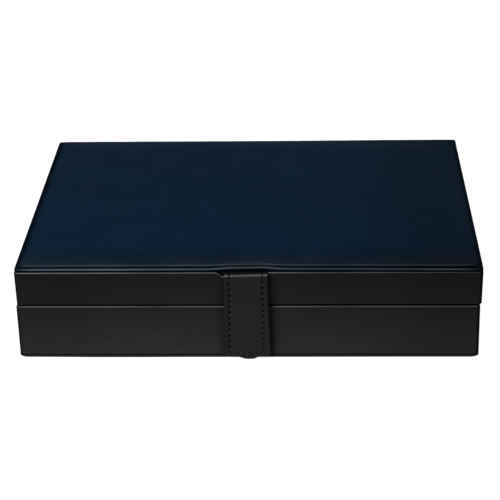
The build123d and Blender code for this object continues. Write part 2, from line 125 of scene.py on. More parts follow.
def lay_table():
    """The table: white where it is seen, and white card round the box where it lights the walls."""
    board = bpy.data.materials.new("matt_white_card")
    board.use_nodes = True
    tree = board.node_tree
    tree.nodes.clear()
    place = add_node(tree, "ShaderNodeTexCoord").outputs["Object"]
    past = vector_math(tree, "SUBTRACT", vector_math(tree, "ABSOLUTE", place), BOX_HALF)
    away = vector_math(tree, "LENGTH", vector_math(tree, "MAXIMUM", past))
    bare = carried(tree, away, 0.0, CARD_REACH, shape="SMOOTHSTEP")
    shade = mixed(tree, bare, dyed(CARD_WHITE), dyed(TABLE_SHADE))
    matt = add_node(tree, "ShaderNodeBsdfDiffuse", {"Color": shade})
    dim = add_node(tree, "ShaderNodeBsdfDiffuse", {"Color": dyed(TABLE_SEEN)})
    glow = add_node(tree, "ShaderNodeEmission", {"Color": dyed("FFFFFF"), "Strength": TABLE_GLOW})
    seen = add_node(tree, "ShaderNodeAddShader", {0: dim.outputs[0], 1: glow.outputs[0]})
    pick = {0: seen_or_mirrored(tree), 1: matt.outputs[0], 2: seen.outputs[0]}
    picked = add_node(tree, "ShaderNodeMixShader", pick)
    add_node(tree, "ShaderNodeOutputMaterial", {"Surface": picked.outputs[0]})
    sheet = bpy.data.meshes.new("table")
    corners = [(x * TABLE_HALF, y * TABLE_HALF, 0) for x, y in ((-1, -1), (1, -1), (1, 1), (-1, 1))]
    sheet.from_pydata(corners, [], [(0, 1, 2, 3)])
    sheet.materials.append(board)
    table = in_scene("table", sheet)


def light_room():
    """A dim room, brighter overhead, with a white wall behind the table as high as it is seen."""
    world = bpy.data.worlds.new("studio_room")
    bpy.context.scene.world = world
    world.use_nodes = True
    tree = world.node_tree
    tree.nodes.clear()
    place = add_node(tree, "ShaderNodeTexCoord").outputs["Generated"]
    height = add_node(tree, "ShaderNodeSeparateXYZ", {0: place}).outputs["Z"]
    level = carried(tree, height, OVERHEAD_FROM, 1.0, ROOM_LEVEL, ROOM_OVERHEAD)
    wall = carried(tree, height, WALL_TOP, WALL_WHITE, shape="SMOOTHSTEP")
    shown = combined(tree, "MULTIPLY", wall, seen_or_mirrored(tree))
    total = combined(tree, "ADD", level, shown)
    sky = add_node(tree, "ShaderNodeBackground", {"Color": dyed("FFFFFF"), "Strength": total})
    add_node(tree, "ShaderNodeOutputWorld", {"Surface": sky.outputs[0]})


def hang_light(name, size, place, aim, watts):
    """A softbox of the given width and height that faces aim."""
    lamp = bpy.data.lights.new(name, "AREA")
    lamp.shape = "RECTANGLE"
    lamp.size, lamp.size_y = size
    lamp.energy = watts
    holder = in_scene(name, lamp)
    holder.location = place
    holder.rotation_euler = (Vector(aim) - Vector(place)).to_track_quat("-Z", "Y").to_euler()


lay_table()
light_room()
hang_light("softbox_front", **SOFTBOX)
hang_light("softbox_back", **BACK_LIGHT)
bpy.context.scene.view_settings.view_transform = "Standard"

# ---- The camera ----
# A long lens from just right of the middle, looking down at the box at about 23 degrees. It is
# rolled by a degree, as a camera on a tripod easily is.

IMAGE = 500
FOCAL_PIXELS = 1787.2
SENSOR = 36.0
CLIP = (0.05, 60)
YAW, PITCH, ROLL = -0.03733, 0.40506, -0.01777
EYE = (0.03983, -1.12866, 0.50827)


def set_camera():
    """Places the camera by its yaw, pitch and roll, with no shift."""
    flat = math.cos(PITCH)
    ahead = Vector((math.sin(YAW) * flat, math.cos(YAW) * flat, -math.sin(PITCH)))
    level = Vector((math.cos(YAW), -math.sin(YAW), 0))
    above = level.cross(ahead)
    right = math.cos(ROLL) * level + math.sin(ROLL) * above
    up = math.cos(ROLL) * above - math.sin(ROLL) * level
    turn = Matrix((right, up, -ahead)).transposed().to_4x4()
    glass = bpy.data.cameras.new("long_lens")
    glass.sensor_width = SENSOR
    glass.lens = FOCAL_PIXELS / IMAGE * SENSOR
    glass.clip_start, glass.clip_end = CLIP
    camera = in_scene("camera", glass)
    camera.matrix_world = Matrix.Translation(EYE) @ turn
    bpy.context.scene.camera = camera


set_camera()

# ---- Boards of the base ----
# Medium-density fibreboard, sawn and sanded: tan, with short pressed fibres and no grain.
# The bottom carries four walls that are glued on, and the right-hand one has the drawer's window.

MM = 0.001
FIBRE = 0.7  # length of the fibres that show, in mm


def new_finish(name, plain):
    """A material with the shader's plain values; also its nodes, its shader and the place on the
    piece in metres."""
    made = bpy.data.materials.new(name)
    made.use_nodes = True
    tree = made.node_tree
    shader = tree.nodes["Principled BSDF"]
    for socket, value in plain.items():
        shader.inputs[socket].default_value = value
    return made, tree, shader, add_node(tree, "ShaderNodeTexCoord").outputs["Object"]


def specks(tree, place, size, detail, distortion=0.0, output="Fac"):
    """Noise with specks of the given size in mm."""
    look = {"Scale": 1 / (size * MM), "Detail": detail, "Distortion": distortion}
    return add_node(tree, "ShaderNodeTexNoise", {"Vector": place, **look}).outputs[output]


def stain(tree, shader, amount, dark, pale, start=0.0, end=1.0):
    """Colours the surface from dark to pale while the amount goes from start to end."""
    ramp = add_node(tree, "ShaderNodeValToRGB", {"Fac": amount})
    for stop, colour, position in zip(ramp.color_ramp.elements, (dark, pale), (start, end)):
        stop.color, stop.position = colour, position
    tree.links.new(ramp.outputs["Color"], shader.inputs["Base Color"])


def emboss(tree, shader, height, depth, strength, below=None):
    """Raises the surface by a height of the given depth in mm, upon the relief below, if any."""
    relief = {"Height": height, "Distance": depth * MM, "Strength": strength}
    if below:
        relief["Normal"] = below
    raised = add_node(tree, "ShaderNodeBump", relief).outputs["Normal"]
    tree.links.new(raised, shader.inputs["Normal"])
    return raised


def fibreboard():
    """Sanded fibreboard: matt tan with a mottle of pressed fibres."""
    made, tree, shader, place = new_finish("sanded_fibreboard", {"Roughness": 0.8})
    fibres = specks(tree, place, FIBRE, 3.0)
    stain(tree, shader, fibres, dyed("8A6A48"), dyed("B8966C"), 0.35, 0.68)
    emboss(tree, shader, fibres, 0.05, 0.4)
    return made


def finish_nodes(names, material):
    """Gives CAD nodes, whose shape is right, their finish."""
    for name in names:
        for held in nodes[name].material_slots:
            held.material = material


board_finish = fibreboard()
finish_nodes(
    [f"base_{side}_board" for side in ("bottom", "front", "back", "left", "right")], board_finish
)

# ---- Leather of the base ----
# Black calendered leather, 0.8 mm thick, glued round the walls. It is turned over the rim, 13 mm
# under the bottom, and in through the drawer's window. Its upright corners are pared and darker.
# Its colour is paler towards the foot, painted light from the white card below.

BASE_HALF, BASE_CORNER = (145.0, 117.0), 2.0
BASE_TOP, BASE_LOW = 35.85, 0.12
BASE_EDGE, FOOT_EDGE = 0.8, 1.3
SKIN, WALL_BOARD = 0.8, 6.0
UNDER_RIM, UNDER_FOOT = 35.2, 1.17  # the leather's inner face
RIM_INSIDE, TURNED_UNDER = -6.75, -12.8  # where it ends, out from the covered wall
WINDOW_HALF, WINDOW_Z = 106.2, (6.0, 22.5)
WINDOW_SIDE = 107.2  # where the leather starts to round into the window
WINDOW_ROWS = (2, 6)  # the rows of points on the wall that the window lies between
HINGE_X, HINGE_HALF = 85.0, 15.1
HINGE_REACH, BASE_LEAF_LOW = -5.8, 35.2
FRONT_WALL = -110  # in front of this a place is on the front
CORNER_DARKENING = 3.2  # how far the darkening of an upright corner reaches
STRAP_SHADE = (0.42, 0.34)  # painted shadow of the strap on the wall: how much darker left and right of it
# painted shade on the rim top in the gap under the lid, and a darker band just above the foot
RIM_SHADE, FOOT_DARKENING = 0.6, 0.8
LOOSE_FOOT = 3  # below this height the foot of the wall is uneven
WELD = 0.004
GRAIN = 0.85  # pebbles of the grain, in mm, a little coarser than real so that they show
PATCHES, SLACK = 38, 22  # patches of uneven dye and slack in the leather, in mm


def calendered_leather(name, foot, head, heights, wear_and_highlight_colour, gloss=0.42, sheen=0.045):
    """Leather pressed with a fine pebble grain: the tops shine softly and the valleys are darker.
    Its colour goes from one shade at the foot to another at the head of the given heights; on the
    black pieces it is paler towards the foot, painted light from the white card. The pieces mark
    edges that are paler and smoother, painted highlight with some wear, and places that are
    darker and matt: painted shade in gaps, creases and holes and towards the ends, and darker
    corners and cut edges."""
    made, tree, shader, place = new_finish(name, {"Specular IOR Level": sheen})
    drift = specks(tree, place, 3 * GRAIN, 2.0, output="Color")
    bent = vector_math(tree, "MULTIPLY", drift, [GRAIN * MM] * 3)
    cells = {"Vector": vector_math(tree, "ADD", place, bent), "Scale": 1 / (GRAIN * MM)}
    pebbles = add_node(tree, "ShaderNodeTexVoronoi", cells, feature="DISTANCE_TO_EDGE")
    tops = carried(tree, pebbles.outputs["Distance"], 0.0, 0.22, shape="SMOOTHSTEP")
    deep = carried(tree, tops, 0.0, 1.0, 0.72, 1.04)
    patches = specks(tree, place, PATCHES, 2.0)
    uneven = carried(tree, patches, 0.3, 0.7, 0.92, 1.08)
    # painted light: the colour runs from the foot's to the head's, paler low down where the card
    # lights it
    height = add_node(tree, "ShaderNodeSeparateXYZ", {0: place}).outputs["Z"]
    up = carried(tree, height, heights[0] * MM, heights[1] * MM)
    # darkened: painted shade, with darker corners and cut edges; wear_and_highlight: paler edges,
    # painted highlight with wear
    darkened = add_node(tree, "ShaderNodeAttribute", attribute_name="darkened").outputs["Fac"]
    wear_and_highlight = add_node(tree, "ShaderNodeAttribute", attribute_name="wear_and_highlight").outputs["Fac"]
    darkened_factor = carried(tree, darkened, 0.0, 1.0, 1.0, 0.06)
    shade = combined(tree, "MULTIPLY", combined(tree, "MULTIPLY", deep, uneven), darkened_factor)
    body = mixed(tree, 1.0, mixed(tree, up, dyed(foot), dyed(head)), shade, "MULTIPLY")
    worn_and_lit = combined(tree, "MULTIPLY", wear_and_highlight, patches)
    tree.links.new(mixed(tree, worn_and_lit, body, dyed(wear_and_highlight_colour)), shader.inputs["Base Color"])
    rough = carried(tree, wear_and_highlight, 0.0, 1.0, gloss, gloss - 0.12)
    dull = carried(tree, darkened, 0.4, 1.0, 0.0, 0.6)
    tree.links.new(combined(tree, "ADD", dull, rough), shader.inputs["Roughness"])
    fine = emboss(tree, shader, tops, 0.05, 0.5)
    emboss(tree, shader, specks(tree, place, SLACK, 1.0), 0.35, 0.5, fine)
    return made


def round_the_box(half, out, radius, z, xs, ys, arc=5):
    """One turn at height z round a box with rounded corners, a distance out from it, with a point
    at each of xs and ys."""
    radius = max(radius, 0.02)
    wide, deep = half[0] + out, half[1] + out
    flat = (wide - radius, deep - radius)
    turn = [(x, -deep, z) for x in xs]
    sides = [[(wide, y, z) for y in ys], [(x, deep, z) for x in reversed(xs)]]
    sides += [[(-wide, y, z) for y in reversed(ys)], []]
    corners = [(flat[0], -flat[1]), (flat[0], flat[1]), (-flat[0], flat[1]), (-flat[0], -flat[1])]
    for quarter, (corner, side) in enumerate(zip(corners, sides)):
        for k in range(arc + 1):
            a = math.radians(90 * (quarter - 1 + k / arc))
            turn.append((corner[0] + radius * math.cos(a), corner[1] + radius * math.sin(a), z))
        turn += side
    return turn


def cells_round(i0, i1, j0, j1):
    """The cells along the four sides of a rectangle of them, from its first corner."""
    cells = [(i, j0) for i in range(i0, i1 + 1)] + [(i1, j) for j in range(j0 + 1, j1 + 1)]
    cells += [(i, j1) for i in range(i1 - 1, i0 - 1, -1)]
    return cells + [(i0, j) for j in range(j1 - 1, j0, -1)]


def stretch_over(turns, closed=False, capped=False):
    """The points and faces of a skin that runs through the given turns, one after another: closed
    into a ring, or capped at both ends."""
    count = len(turns[0])
    points = [point for turn in turns for point in turn]
    faces = []
    for k in range(len(turns) - (0 if closed else 1)):
        here, there = k * count, (k + 1) % len(turns) * count
        for i in range(count):
            j = (i + 1) % count
            faces.append((here + i, here + j, there + j, there + i))
    if capped:
        faces += [tuple(range(count)), tuple(range(len(points) - count, len(points)))]
    return points, faces


def quarter_round(middle, radius, start, end, steps=4):
    """Points (out, z) on a rounded edge about its middle, from one angle to the other."""
    angles = [math.radians(start + (end - start) * k / steps) for k in range(steps + 1)]
    return [(middle[0] + radius * math.cos(a), middle[1] + radius * math.sin(a)) for a in angles]


def turned_through(points, faces, loop, last, middle, half, steps):
    """Leather turned in along X through an opening in a wall or drawer front: from the loop of
    points round it, by steps of (distance outside the opening, x), to the last loop."""
    before = loop
    for spread, depth in steps:
        now = []
        for index in loop:
            y, z = points[index][1] - middle[0], points[index][2] - middle[1]
            y = max(-half[0] - spread, min(half[0] + spread, y))
            z = max(-half[1] - spread, min(half[1] + spread, z))
            points.append((depth, y + middle[0], z + middle[1]))
            now.append(len(points) - 1)
        faces += [(before[k - 1], before[k], now[k], now[k - 1]) for k in range(len(loop))]
        before = now
    if last:
        faces += [(before[k - 1], before[k], last[k], last[k - 1]) for k in range(len(loop))]


def make_up(name, points, faces, finish, body=None, wear_and_highlight=None, darkened=None):
    """Makes a piece of points in millimetres, welded and smooth, that rides on a body."""
    sheet = bpy.data.meshes.new(name)
    sheet.from_pydata([[c * MM for c in point] for point in points], [], faces)
    for mark, values in (("wear_and_highlight", wear_and_highlight), ("darkened", darkened)):
        if values:
            held = sheet.attributes.new(mark, "FLOAT", "POINT")
            held.data.foreach_set("value", values + [0.0] * (len(points) - len(values)))
    work = bmesh.new()
    work.from_mesh(sheet)
    bmesh.ops.remove_doubles(work, verts=work.verts, dist=WELD * MM)
    bmesh.ops.recalc_face_normals(work, faces=work.faces)
    work.to_mesh(sheet)
    work.free()
    for face in sheet.polygons:
        face.use_smooth = True
    sheet.materials.append(finish)
    piece = in_scene(name, sheet)
    if body:
        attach(piece, body)
    return piece


def smooth(low, high, value):
    """Goes from nought at low to one at high, without a corner."""
    t = max(0.0, min(1.0, (value - low) / (high - low)))
    return t * t * (3 - 2 * t)


def wave(x, y, z, length, size, seed=0.0):
    """A slow unevenness of hand-laid leather, of the given wavelength and height in mm."""
    return size * noise.noise(Vector((x / length + seed, y / length, z / length)))


def spaced(low, high, step):
    """Evenly spaced places from low to high, or down to it, about step apart."""
    count = max(1, round(abs(high - low) / step))
    return [low + (high - low) * k / count for k in range(count + 1)]


HINGE_ENDS = [e * (HINGE_HALF + past) for e in (-1, 1) for past in (0, 0.12)]
HINGE_EDGES = {side * HINGE_X + end for side in (-1, 1) for end in HINGE_ENDS}
NEAR_CORNERS = {side * x for side in (-1, 1) for x in (140.6, 141.8, 142.6)}
NEAR_STRAP = set(spaced(-21, -14, 1.75)) | set(spaced(13, 22, 1.5))
WALL_XS = sorted(set(spaced(-138, 138, 9)) | HINGE_EDGES | NEAR_CORNERS | NEAR_STRAP)
BASE_YS = sorted(set(spaced(-96, 96, 12)) | {-111.0, -WINDOW_SIDE, WINDOW_SIDE, 111.0})


def over_hinge(x, y):
    """True where a hinge leaf lies on the rim of the back wall."""
    inside = min(abs(x - HINGE_X), abs(x + HINGE_X)) <= HINGE_HALF + 0.02
    return inside and y > BASE_HALF[1] + HINGE_REACH


def at_corner(x, y, reach):
    """How far a place lies on an upright corner: one on its rounding, nought past the reach."""
    near = [1 - smooth(0, reach, half - abs(v) - 0.3) for half, v in zip(BASE_HALF, (x, y))]
    return near[0] * near[1]


def painted_shade_at(x, y, left, right):
    """How much painted shade darkens a place: towards the two ends, where less light falls, and
    under and beside the strap, as the strap's painted shadow."""
    ends = left * smooth(40, 120, -x) + right * smooth(60, 130, x)
    if y >= FRONT_WALL:
        return max(ends, 0.0)
    beside = smooth(14, 22, x) if x > 0 else smooth(15, 22, -x)
    return max(ends, STRAP_SHADE[x > 0] * (1 - beside))


def wall_highlight_and_shade(x, y, skin_out, edge, shaded, worn_and_lit, deep):
    """The paler edge and the darkening of a place on the walls. The edge is paler as painted
    highlight with some wear, and worn_and_lit says how much less towards the right, where less
    light falls; the darkening is painted shade, with darker corners, and deep says how much
    painted shade lies at the left and at the right end."""
    corner = at_corner(x, y, CORNER_DARKENING) if skin_out else 0.0
    wear_and_highlight = (1 - corner) * (1 - worn_and_lit * smooth(60, 130, x)) if edge else 0.0
    return wear_and_highlight, max(shaded, corner * (0.7 if edge else 1.0), painted_shade_at(x, y, *deep))


def open_window(points, faces, starts):
    """Cuts the window out of the outer and the inner layer, whose rows start at the given points,
    and turns the leather in through it. Returns the faces and the points round the window."""
    side = len(WALL_XS) + 6
    left, right = side + BASE_YS.index(-WINDOW_SIDE), side + BASE_YS.index(WINDOW_SIDE)
    gone, loops = set(), []
    for layer in starts:
        for k in range(*WINDOW_ROWS):
            gone |= {min(layer[k], layer[k + 1]) + i for i in range(left, right)}
        loops.append([layer[k] + i for i, k in cells_round(left, right, *WINDOW_ROWS)])
    faces = [face for face in faces if face[0] not in gone]
    middle = (0, (WINDOW_Z[0] + WINDOW_Z[1]) / 2)
    half = (WINDOW_HALF, (WINDOW_Z[1] - WINDOW_Z[0]) / 2)
    face_x, inner_x = BASE_HALF[0], BASE_HALF[0] - SKIN - WALL_BOARD
    steps = [(0.7, 0.03), (0.42, 0.15), (0.18, 0.4), (0.03, 0.8), (0, 1.3)]
    edge = [(spread, face_x - depth) for spread, depth in steps]
    edge += [(0, inner_x + 0.3), (0.1, inner_x + 0.05), (SKIN - 0.05, inner_x + 0.05)]
    edge += [(SKIN - 0.05, face_x - SKIN - 0.05)]
    turned_through(points, faces, loops[0], loops[1], middle, half, edge)
    return faces, len(loops[0])


def settled(x, y, height):
    """Where a place on the skin comes to lie: the foot waves and rises at the corners, the rim goes
    under the hinge leaves and falls to the right, and the left end leans out."""
    if height < LOOSE_FOOT:
        height += max(-0.12, wave(x, y, 0, 70, 0.45, 3.1)) * (1 - height / LOOSE_FOOT)
        height += 0.95 * (1 - height / LOOSE_FOOT) * at_corner(x, y, 4)
    if over_hinge(x, y) and height > BASE_LEAF_LOW - 0.01:
        height = BASE_LEAF_LOW - 0.02
    if height > 34:
        height += 0.08 - 0.1 * x / BASE_HALF[0]
    return x - smooth(110, 140, -x) * (0.1 + 0.6 * height / BASE_TOP), y, height


def cover_base():
    """The leather as one closed skin, with its window and the seats of the hinge leaves."""
    rows = [31.0, 27.0, 23.5, 18.5, 14.25, 10.0, 5.0, 3.2, 2.9, 2.0, 1.75]
    outside = [(RIM_INSIDE, 35.3), (RIM_INSIDE + 0.2, 35.7), (RIM_INSIDE + 0.6, BASE_TOP)]
    outside += [(HINGE_REACH - 0.1, BASE_TOP), (HINGE_REACH, BASE_TOP), (-3.5, BASE_TOP)]
    outside += quarter_round((-BASE_EDGE, BASE_TOP - BASE_EDGE), BASE_EDGE, 90, 0, 6)
    first_row = len(outside)
    outside += [(0, z) for z in rows]
    outside += quarter_round((-FOOT_EDGE, BASE_LOW + FOOT_EDGE), FOOT_EDGE, 0, -90)
    outside += [(-4, BASE_LOW), (TURNED_UNDER + 0.3, BASE_LOW), (TURNED_UNDER, BASE_LOW + 0.25)]
    inside = [(TURNED_UNDER, UNDER_FOOT), (-SKIN - 0.02, UNDER_FOOT)]
    inner_row = len(outside) + len(inside) + len(rows) - 1
    inside += [(-SKIN - 0.02, z) for z in reversed(rows)]
    inside += [(-SKIN - 0.02, UNDER_RIM), (RIM_INSIDE, UNDER_RIM)]
    turns, wear_and_highlight, darkened = [], [], []
    for number, (out, z) in enumerate(outside + inside):
        skin_out = number < len(outside)
        # the rim's rounded edge is paler as painted highlight with wear; the rim top behind it, in
        # the gap under the lid, gets painted shade; a darker band runs just above the foot
        edge = skin_out and -0.55 * BASE_EDGE < out < -0.02 and z > 20
        shaded = RIM_SHADE if skin_out and -3 < out <= -BASE_EDGE and z > 20 else 0.0
        if skin_out and 1.9 < z < 3.0:
            shaded = FOOT_DARKENING
        turn = []
        flat = round_the_box(BASE_HALF, out, BASE_CORNER + out, z, WALL_XS, BASE_YS)
        for x, y, height in flat:
            marks = wall_highlight_and_shade(x, y, skin_out, edge, shaded, 0.25, (0.24, 0.3))
            wear_and_highlight.append(marks[0])
            darkened.append(marks[1])
            turn.append(settled(x, y, height) if skin_out else (x, y, height))
        turns.append(turn)
    points, faces = stretch_over(turns, closed=True)
    count, order = len(turns[0]), range(len(rows))
    starts = [[(first_row + k) * count for k in order], [(inner_row - k) * count for k in order]]
    faces, opening = open_window(points, faces, starts)
    # the edge turning into the window is paler: painted highlight with wear
    wear_and_highlight += [0.8] * (4 * opening)  # the first four turns into the window
    return make_up("base_leather_cover", points, faces, base_hide, "base", wear_and_highlight, darkened)


# the foot colour is paler than the head's as painted light; the last colour is for painted
# highlights with wear
base_hide = calendered_leather(
    "black_calendered_leather", "2F3032", "1F2120", (2, BASE_TOP), "646562"
)
base_leather = cover_base()
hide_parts("base_leather")

# ---- Felt under the base ----
# Pressed wool felt, 1.2 mm, glued inside the turned-in leather so that the box doesn't scratch.

FELT_FIBRE = 0.5


def pressed_felt():
    """Pressed wool felt: black, quite matt, with a fuzz of short fibres."""
    plain = {"Roughness": 0.95, "Sheen Weight": 0.3}
    made, tree, shader, place = new_finish("pressed_wool_felt", plain)
    fuzz = specks(tree, place, FELT_FIBRE, 4.0)
    stain(tree, shader, fuzz, dyed("161616"), dyed("303030"))
    emboss(tree, shader, fuzz, 0.15, 0.6)
    return made


finish_nodes(["underside_felt"], pressed_felt())

# ---- Tray ----
# Thin boards wrapped in microfibre suede. Four of them stand up inside the rim as a neck for the
# lid, one parts the rolls from the open bays, and two more part the bays.

NAP, BRUSHED = 0.35, 26  # tufts of the suede's nap and its brushed patches, in mm
TRAY_FLOOR, TRAY_DEEP = 25.4, 108.4  # its height, and half its depth
BAY_X = (48.4, 136.4)
DIVIDER = 2.4


def microfibre_suede(name, pale, deep):
    """Brushed microfibre suede: matt, with a soft pale sheen at a glance and brushed patches."""
    plain = {"Roughness": 0.9, "Specular IOR Level": 0.2}
    plain |= {"Sheen Weight": 0.35, "Sheen Roughness": 0.45}
    made, tree, shader, place = new_finish(name, plain)
    nap = specks(tree, place, NAP, 3.0)
    brushed = specks(tree, place, BRUSHED, 3.0, 0.8)
    both = add_node(tree, "ShaderNodeMix", {"Factor": 0.6, "A": nap, "B": brushed})
    stain(tree, shader, both.outputs["Result"], dyed(deep), dyed(pale), 0.32, 0.68)
    emboss(tree, shader, nap, 0.12, 0.5)
    return made


def wrapped_divider(name, low, high, body):
    """A thin board wrapped in suede, rounded over its top and standing on its floor."""
    along = 0 if high[0] - low[0] > high[1] - low[1] else 1
    across = 1 - along
    middle = (low[across] + high[across]) / 2
    half = (high[across] - low[across]) / 2
    top = high[2] - half
    foot = [(half, low[2] + rise) for rise in (0.0, 0.25, 0.5)] + [(half, top - 0.3)]
    section = [(-out, z) for out, z in reversed(foot)] + foot
    section += quarter_round((0, top), half, 0, 180, 8)
    turns = []
    for place in spaced(low[along], high[along], 8):
        turn = []
        for out, z in section:
            out += wave(place, out, z, 18, 0.05) - math.copysign(0.05, out)
            point = [0, 0, min(z, high[2] - 0.02)]
            point[along], point[across] = place, middle + out
            turn.append(tuple(point))
        turns.append(turn)
    points, faces = stretch_over(turns, capped=True)
    piece = make_up(name, points, faces, suede, body)
    return piece


def fill_field(turns, xs, ys, height, arc=5, skip=None):
    """The points and faces of a skin through turns of round_the_box, the last of which has sharp
    corners and is filled with a field of points; also the loop round the cells that skip names."""
    points, faces = stretch_over(turns)
    right, back = len(xs) + 1, len(ys) + 1
    ring = cells_round(0, right, 0, back)
    table, at = {}, len(points) - len(turns[0])
    for i, j in ring[1:] + ring[:1]:  # of a corner's points, only the last is a cell's
        at += arc if i in (0, right) and j in (0, back) else 0
        table[i, j] = at
        at += 1
    for i, x in enumerate(xs, 1):
        for j, y in enumerate(ys, 1):
            table[i, j] = len(points)
            points.append((x, y, height(x, y)))
    for i in range(right):
        for j in range(back):
            if not (skip and skip[0] <= i < skip[1] and skip[2] <= j < skip[3]):
                faces.append((table[i, j], table[i + 1, j], table[i + 1, j + 1], table[i, j + 1]))
    return points, faces, [table[cell] for cell in cells_round(*skip)] if skip else []


def lined_floor(name, low, high):
    """Suede laid over a thin card in a bay, a little crowned, with its edges turned down."""
    half = [(high[k] - low[k]) / 2 for k in (0, 1)]
    middle = [(high[k] + low[k]) / 2 for k in (0, 1)]
    xs = spaced(-half[0] + 6, half[0] - 6, 9)
    ys = spaced(-half[1] + 6, half[1] - 6, 9)
    turns = []
    for inset, rise in ((0, 0), (0.02, 0.3), (0.3, 0.6), (1.0, 0.75), (3.0, 0.85)):
        radius = 1.0 if inset < 2 else 0.02
        turns.append(round_the_box(half, -inset, radius, low[2] + rise, xs, ys, 3))
    points, faces, _ = fill_field(turns, xs, ys, lambda x, y: low[2] + 0.9, 3)
    points = [(x + middle[0], y + middle[1], z + wave(x, y, 0, 15, 0.06)) for x, y, z in points]
    piece = make_up(name, points, faces, suede, "base")


def in_mm(node):
    """A CAD node's lowest and highest corners, in millimetres."""
    low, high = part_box(node)
    return [c / MM for c in low], [c / MM for c in high]


def part_bays(name, node, body, axis, start, pitch):
    """Two dividers in place of a node's, which part three bays at a pitch along an axis; returns
    the first."""
    low, high = in_mm(node)
    parts = []
    for number in (1, 2):
        low[axis] = start - DIVIDER + number * pitch
        high[axis] = low[axis] + DIVIDER
        parts.append(wrapped_divider(f"{name}_{number}", low, high, body))
    return parts[0]


suede = microfibre_suede("taupe_microfibre_suede", "776E64", "5C544C")
finish_nodes([f"tray_wall_{side}" for side in ("front", "back", "left", "right")], suede)
finish_nodes(["tray_floor_board"], board_finish)
low, high = in_mm("tray_divider_long")
long_divider = wrapped_divider("tray_long_divider", low, high, "base")
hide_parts("tray_divider_long")
pitch = (2 * TRAY_DEEP + DIVIDER) / 3
part = part_bays("tray_cross_divider", "tray_cross_dividers", "base", 1, -TRAY_DEEP, pitch)
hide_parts("tray_cross_dividers")
for number in range(3):
    edge = -TRAY_DEEP + number * pitch
    low = (BAY_X[0] + 0.1, edge + 0.1, TRAY_FLOOR)
    high = (BAY_X[1] - 0.1, edge + pitch - DIVIDER - 0.1, TRAY_FLOOR + 1)
    lined_floor(f"tray_bay_lining_{number + 1}", low, high)

# ---- Cufflink rolls ----
# Bars of upholstery foam wrapped in suede and pressed in side by side. Each is drawn in at its
# foot and swells against its neighbours, and a cufflink's bar goes down between two of them.

ROLL_SWELL, ROLL_POINTS = 0.97, 32


def roll_section(low, high):
    """The section of a roll as (distance from its middle, z): a flat foot, swollen sides and a
    crown."""
    half, tall = (high[1] - low[1]) / 2 * ROLL_SWELL, high[2] - low[2]
    section = []
    for k in range(ROLL_POINTS):
        a = 2 * math.pi * (k + 0.5) / ROLL_POINTS
        side, up = math.sin(a), -math.cos(a)
        wide = math.copysign(abs(side) ** 0.72, side)
        rise = 0.5 + 0.5 * math.copysign(abs(up) ** 0.8, up)
        wide *= 1 - 0.13 * max(0, rise - 0.45) ** 1.5 - 0.07 * max(0, 0.35 - rise)
        section.append((half * wide, low[2] + tall * rise))
    return section


def stuff_roll(number):
    """One roll: its section run along X, crowned at the ends and a little uneven."""
    node = f"cufflink_roll_{number}"
    low, high = in_mm(node)
    section = roll_section(low, high)
    middle, centre = (low[1] + high[1]) / 2, (low[2] + high[2]) / 2
    turns = []
    ends = [(0.0, 0.55), (0.12, 0.72), (0.4, 0.84), (0.9, 0.92), (1.8, 0.97), (3.2, 1.0)]
    stations = [(low[0] + 0.25 + d, s) for d, s in ends]
    stations += [(x, 1.0) for x in spaced(low[0] + 7, high[0] - 7, 4)]
    stations += [(high[0] - 0.25 - d, s) for d, s in reversed(ends)]
    for x, scale in stations:
        turn = []
        for wide, z in section:
            loose = wave(x, number * 31.0, z, 16, 0.16) + wave(x, wide + number * 17, z, 5, 0.05)
            y = middle + (wide - math.copysign(abs(loose), wide)) * scale
            up = centre + (z - centre) * scale - abs(loose) * 0.6
            turn.append((x, y, max(low[2] + 0.02, up)))
        turns.append(turn)
    points, faces = stretch_over(turns, capped=True)
    roll = make_up(f"suede_roll_{number}", points, faces, suede, "base")
    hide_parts(node)


for number in range(1, 8):
    stuff_roll(number)

# ---- Guides and stop of the drawer ----
# Strips of waxed beech, planed smooth: the drawer rides on their ledges and its inner end meets
# the stop strip under the tray.

BEECH_FLECK = 2.2


def waxed_beech():
    """Planed beech with wax: pinkish tan, short darker flecks along the grain, a low shine."""
    made, tree, shader, place = new_finish("waxed_beech", {"Roughness": 0.5})
    along = add_node(tree, "ShaderNodeMapping", {"Vector": place, "Scale": (0.12, 1.0, 1.0)})
    flecks = specks(tree, along.outputs[0], BEECH_FLECK, 4.0)
    stain(tree, shader, flecks, dyed("9A7350"), dyed("C9A57D"))
    return made


finish_nodes(["drawer_guide_front", "drawer_guide_back", "drawer_stop_strip"], waxed_beech())

# ---- Hinges ----
# Two small butt hinges of rolled brass, let into the rims at the back, with steel pins and
# countersunk brass wood screws.

ROLLED_LINE = 0.25


def rolled_metal(name, colour, rough):
    """Rolled metal with fine lengthwise lines and a dull satin shine."""
    made, tree, shader, place = new_finish(name, {"Metallic": 1.0})
    along = add_node(tree, "ShaderNodeMapping", {"Vector": place, "Scale": (0.05, 1.0, 1.0)})
    lines = specks(tree, along.outputs[0], ROLLED_LINE, 3.0)
    stain(tree, shader, lines, [c * 0.8 for c in dyed(colour)[:3]] + [1], dyed(colour))
    spread = carried(tree, lines, 0.0, 1.0, rough - 0.06, rough + 0.08)
    tree.links.new(spread, shader.inputs["Roughness"])
    return made


brass = rolled_metal("rolled_brass", "C8A35A", 0.32)
steel = rolled_metal("nickelled_steel", "B8B8B4", 0.28)
for side in ("left", "right"):
    finish_nodes([f"hinge_{side}_base_leaf", f"hinge_{side}_lid_leaf"], brass)
finish_nodes(["hinge_base_screws", "hinge_lid_screws"], brass)
finish_nodes(["hinge_left_pin", "hinge_right_pin", "strap_keeper", "strap_magnet"], steel)

# ---- Boards of the lid ----
# Four thin fibreboard rails glued under a top board. Leather hides them outside and suede inside,
# and the hinge leaves are let into the back one.

